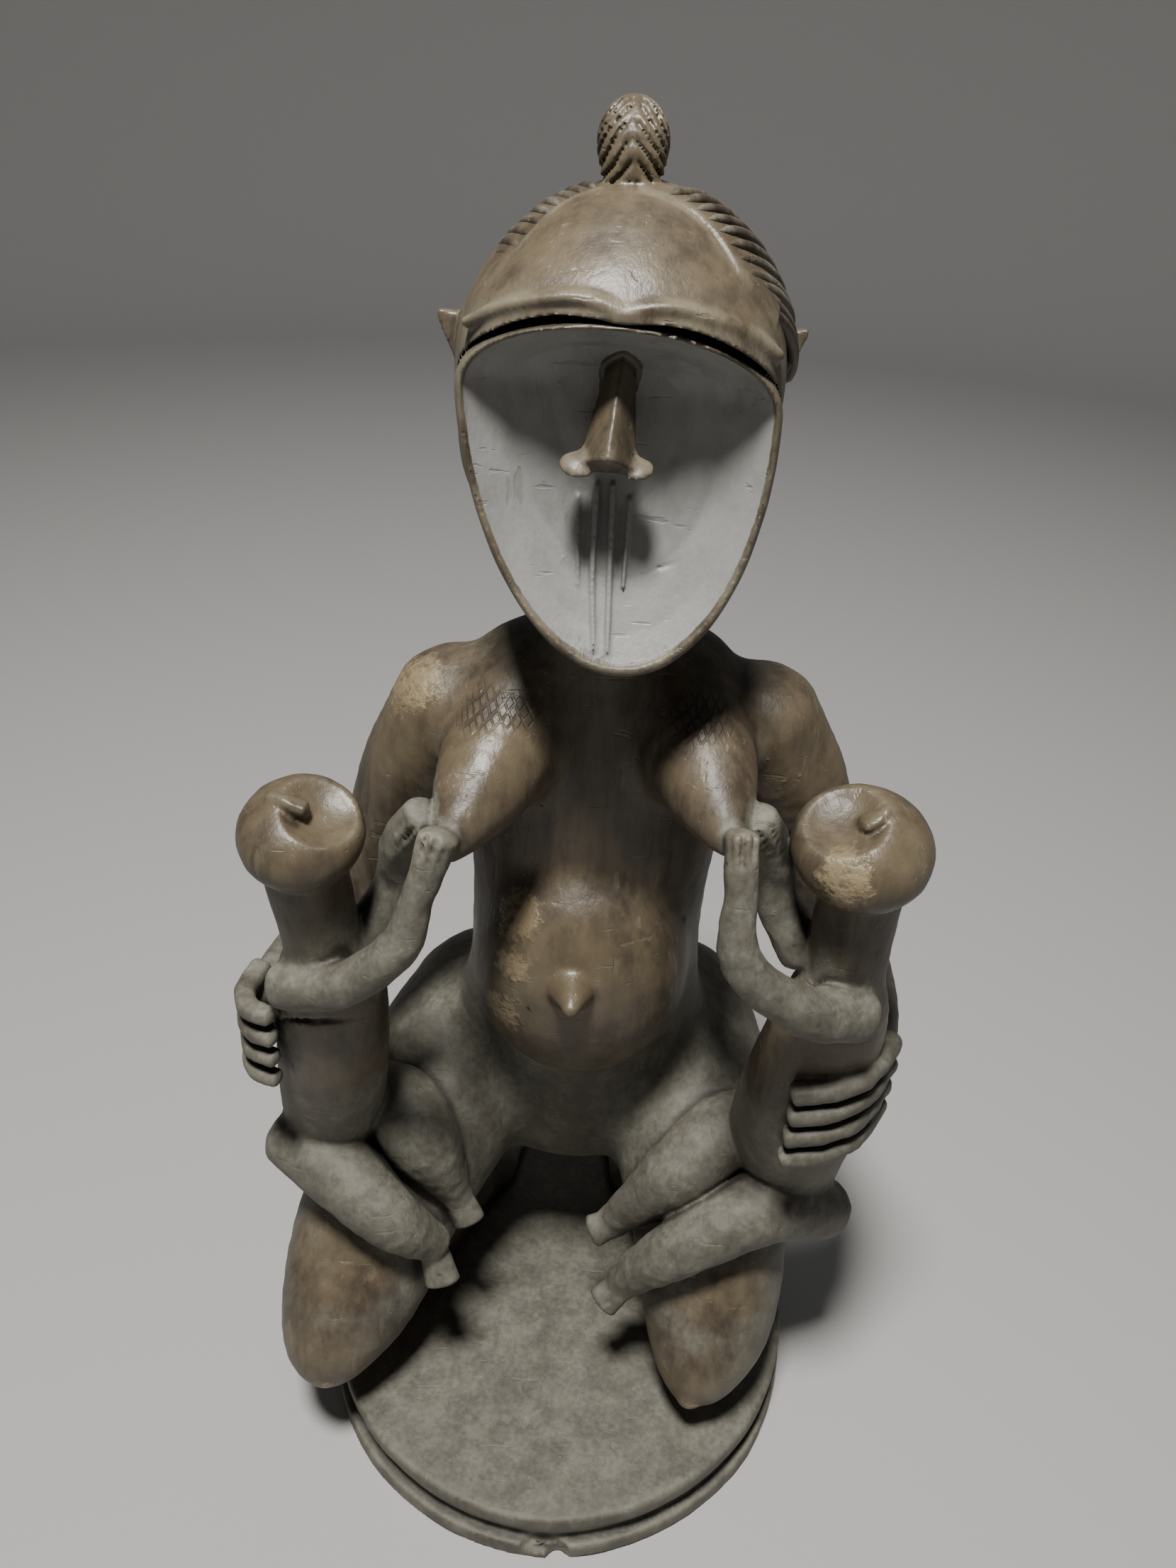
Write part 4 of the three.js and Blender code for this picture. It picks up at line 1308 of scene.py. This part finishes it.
# Each light's place, where it points, its width, the setting that holds its power, and its colour.
LIGHTS = {
    "key": ((-0.16, -0.52, 1.85), (0, 0, 0.32), 0.3, "key_power", (1.0, 0.98, 0.95)),
    "fill_left": ((-1.5, -1.2, 0.9), (0, 0, 0.3), 1.2, "fill_power", (1, 1, 1)),
    "fill_right": ((1.6, -0.7, 0.8), (0, 0, 0.3), 1.2, "fill_power", (1, 1, 1)),
    "back": ((0.3, 1.5, 1.6), (0, 0, 0.35), 1.0, "fill_power", (1, 1, 1)),
    "backdrop": ((0, 0.9, 1.7), (0, 2.5, 0.7), 1.2, "backdrop_power", (1, 1, 1)),
}
WORLD_COLOUR, WORLD_STRENGTH = (0.9, 0.93, 1.0, 1), 0.07
# The photograph's camera, which fits a figure 600 mm high. Its lens is in millimetres, its angles in degrees.
CAMERA_PLACE, CAMERA_PITCH, CAMERA_ROLL, CAMERA_LENS = (0, -0.404, 0.612), 32, 3.2, 27.03


def soft_light(name, place, aim, size, power, colour):
    data = bpy.data.lights.new(name, "AREA")
    data.shape, data.size, data.energy, data.color = "DISK", size, power, colour
    light = bpy.data.objects.new(name, data)
    light.location = place
    light.rotation_euler = (Vector(aim) - Vector(place)).to_track_quat("-Z", "Y").to_euler()
    bpy.context.collection.objects.link(light)


class FIGURE_OT_set_stage(bpy.types.Operator):
    """Set the pale floor, the soft lights and the camera at the photograph's angle"""
    bl_idname = "figure.set_stage"
    bl_label = "Set the stage"

    def execute(self, context):
        settings = context.scene.stage_settings
        floor = bpy.data.objects.new("studio_floor", bowl(settings.floor_radius, settings.wall_height))
        floor.data.materials.append(studio_floor(settings))
        context.collection.objects.link(floor)
        for name, (place, aim, size, power, colour) in LIGHTS.items():
            soft_light(name, place, aim, size, getattr(settings, power), colour)
        world = bpy.data.worlds.new("studio")
        world.use_nodes = True
        background = world.node_tree.nodes["Background"].inputs
        background["Color"].default_value, background["Strength"].default_value = WORLD_COLOUR, WORLD_STRENGTH
        context.scene.world = world

        pitch, roll = math.radians(CAMERA_PITCH), math.radians(CAMERA_ROLL)
        forward = Vector((0, math.cos(pitch), -math.sin(pitch)))
        level_up = Vector((0, math.sin(pitch), math.cos(pitch)))
        right = math.cos(roll) * Vector((1, 0, 0)) + math.sin(roll) * level_up
        up = -math.sin(roll) * Vector((1, 0, 0)) + math.cos(roll) * level_up
        data = bpy.data.cameras.new("camera")
        data.lens, data.sensor_width, data.sensor_fit = CAMERA_LENS, 36.0, "AUTO"
        data.clip_start = 0.01
        camera = bpy.data.objects.new("camera", data)
        turn = Matrix((right, up, -forward)).transposed()
        camera.matrix_world = Matrix.Translation(CAMERA_PLACE) @ turn.to_4x4()
        context.collection.objects.link(camera)
        context.scene.camera = camera
        return {"FINISHED"}


class FIGURE_PT_panel(bpy.types.Panel):
    """The figure's settings and steps"""
    bl_idname = "FIGURE_PT_panel"
    bl_label = "Maternity figure"
    bl_space_type = "VIEW_3D"
    bl_region_type = "UI"
    bl_category = "Figure"

    def draw(self, context):
        for group in SETTINGS:
            box = self.layout.box()
            for name in SETTINGS[group].__annotations__:
                box.prop(getattr(context.scene, group), name)
        for step in STEPS:
            self.layout.operator(step.bl_idname)


SETTINGS = {
    "base_sizes": BaseSizes,
    "carving_sizes": CarvingSizes,
    "hair_sizes": HairSizes,
    "wood_colours": WoodColours,
    "stage_settings": StageSettings,
}
STEPS = (FIGURE_OT_carve_body, FIGURE_OT_carve_head, FIGURE_OT_lay_hair, FIGURE_OT_set_stage)


def register():
    for kind in (*SETTINGS.values(), *STEPS, FIGURE_PT_panel):
        bpy.utils.register_class(kind)
    for name, kind in SETTINGS.items():
        setattr(bpy.types.Scene, name, bpy.props.PointerProperty(type=kind))


def unregister():
    for name in SETTINGS:
        delattr(bpy.types.Scene, name)
    for kind in reversed((*SETTINGS.values(), *STEPS, FIGURE_PT_panel)):
        bpy.utils.unregister_class(kind)


def main():
    register()
    bpy.ops.figure.carve_body()
    bpy.ops.figure.carve_head()
    bpy.ops.figure.lay_hair()
    bpy.ops.figure.set_stage()


if __name__ == "__main__":
    main()
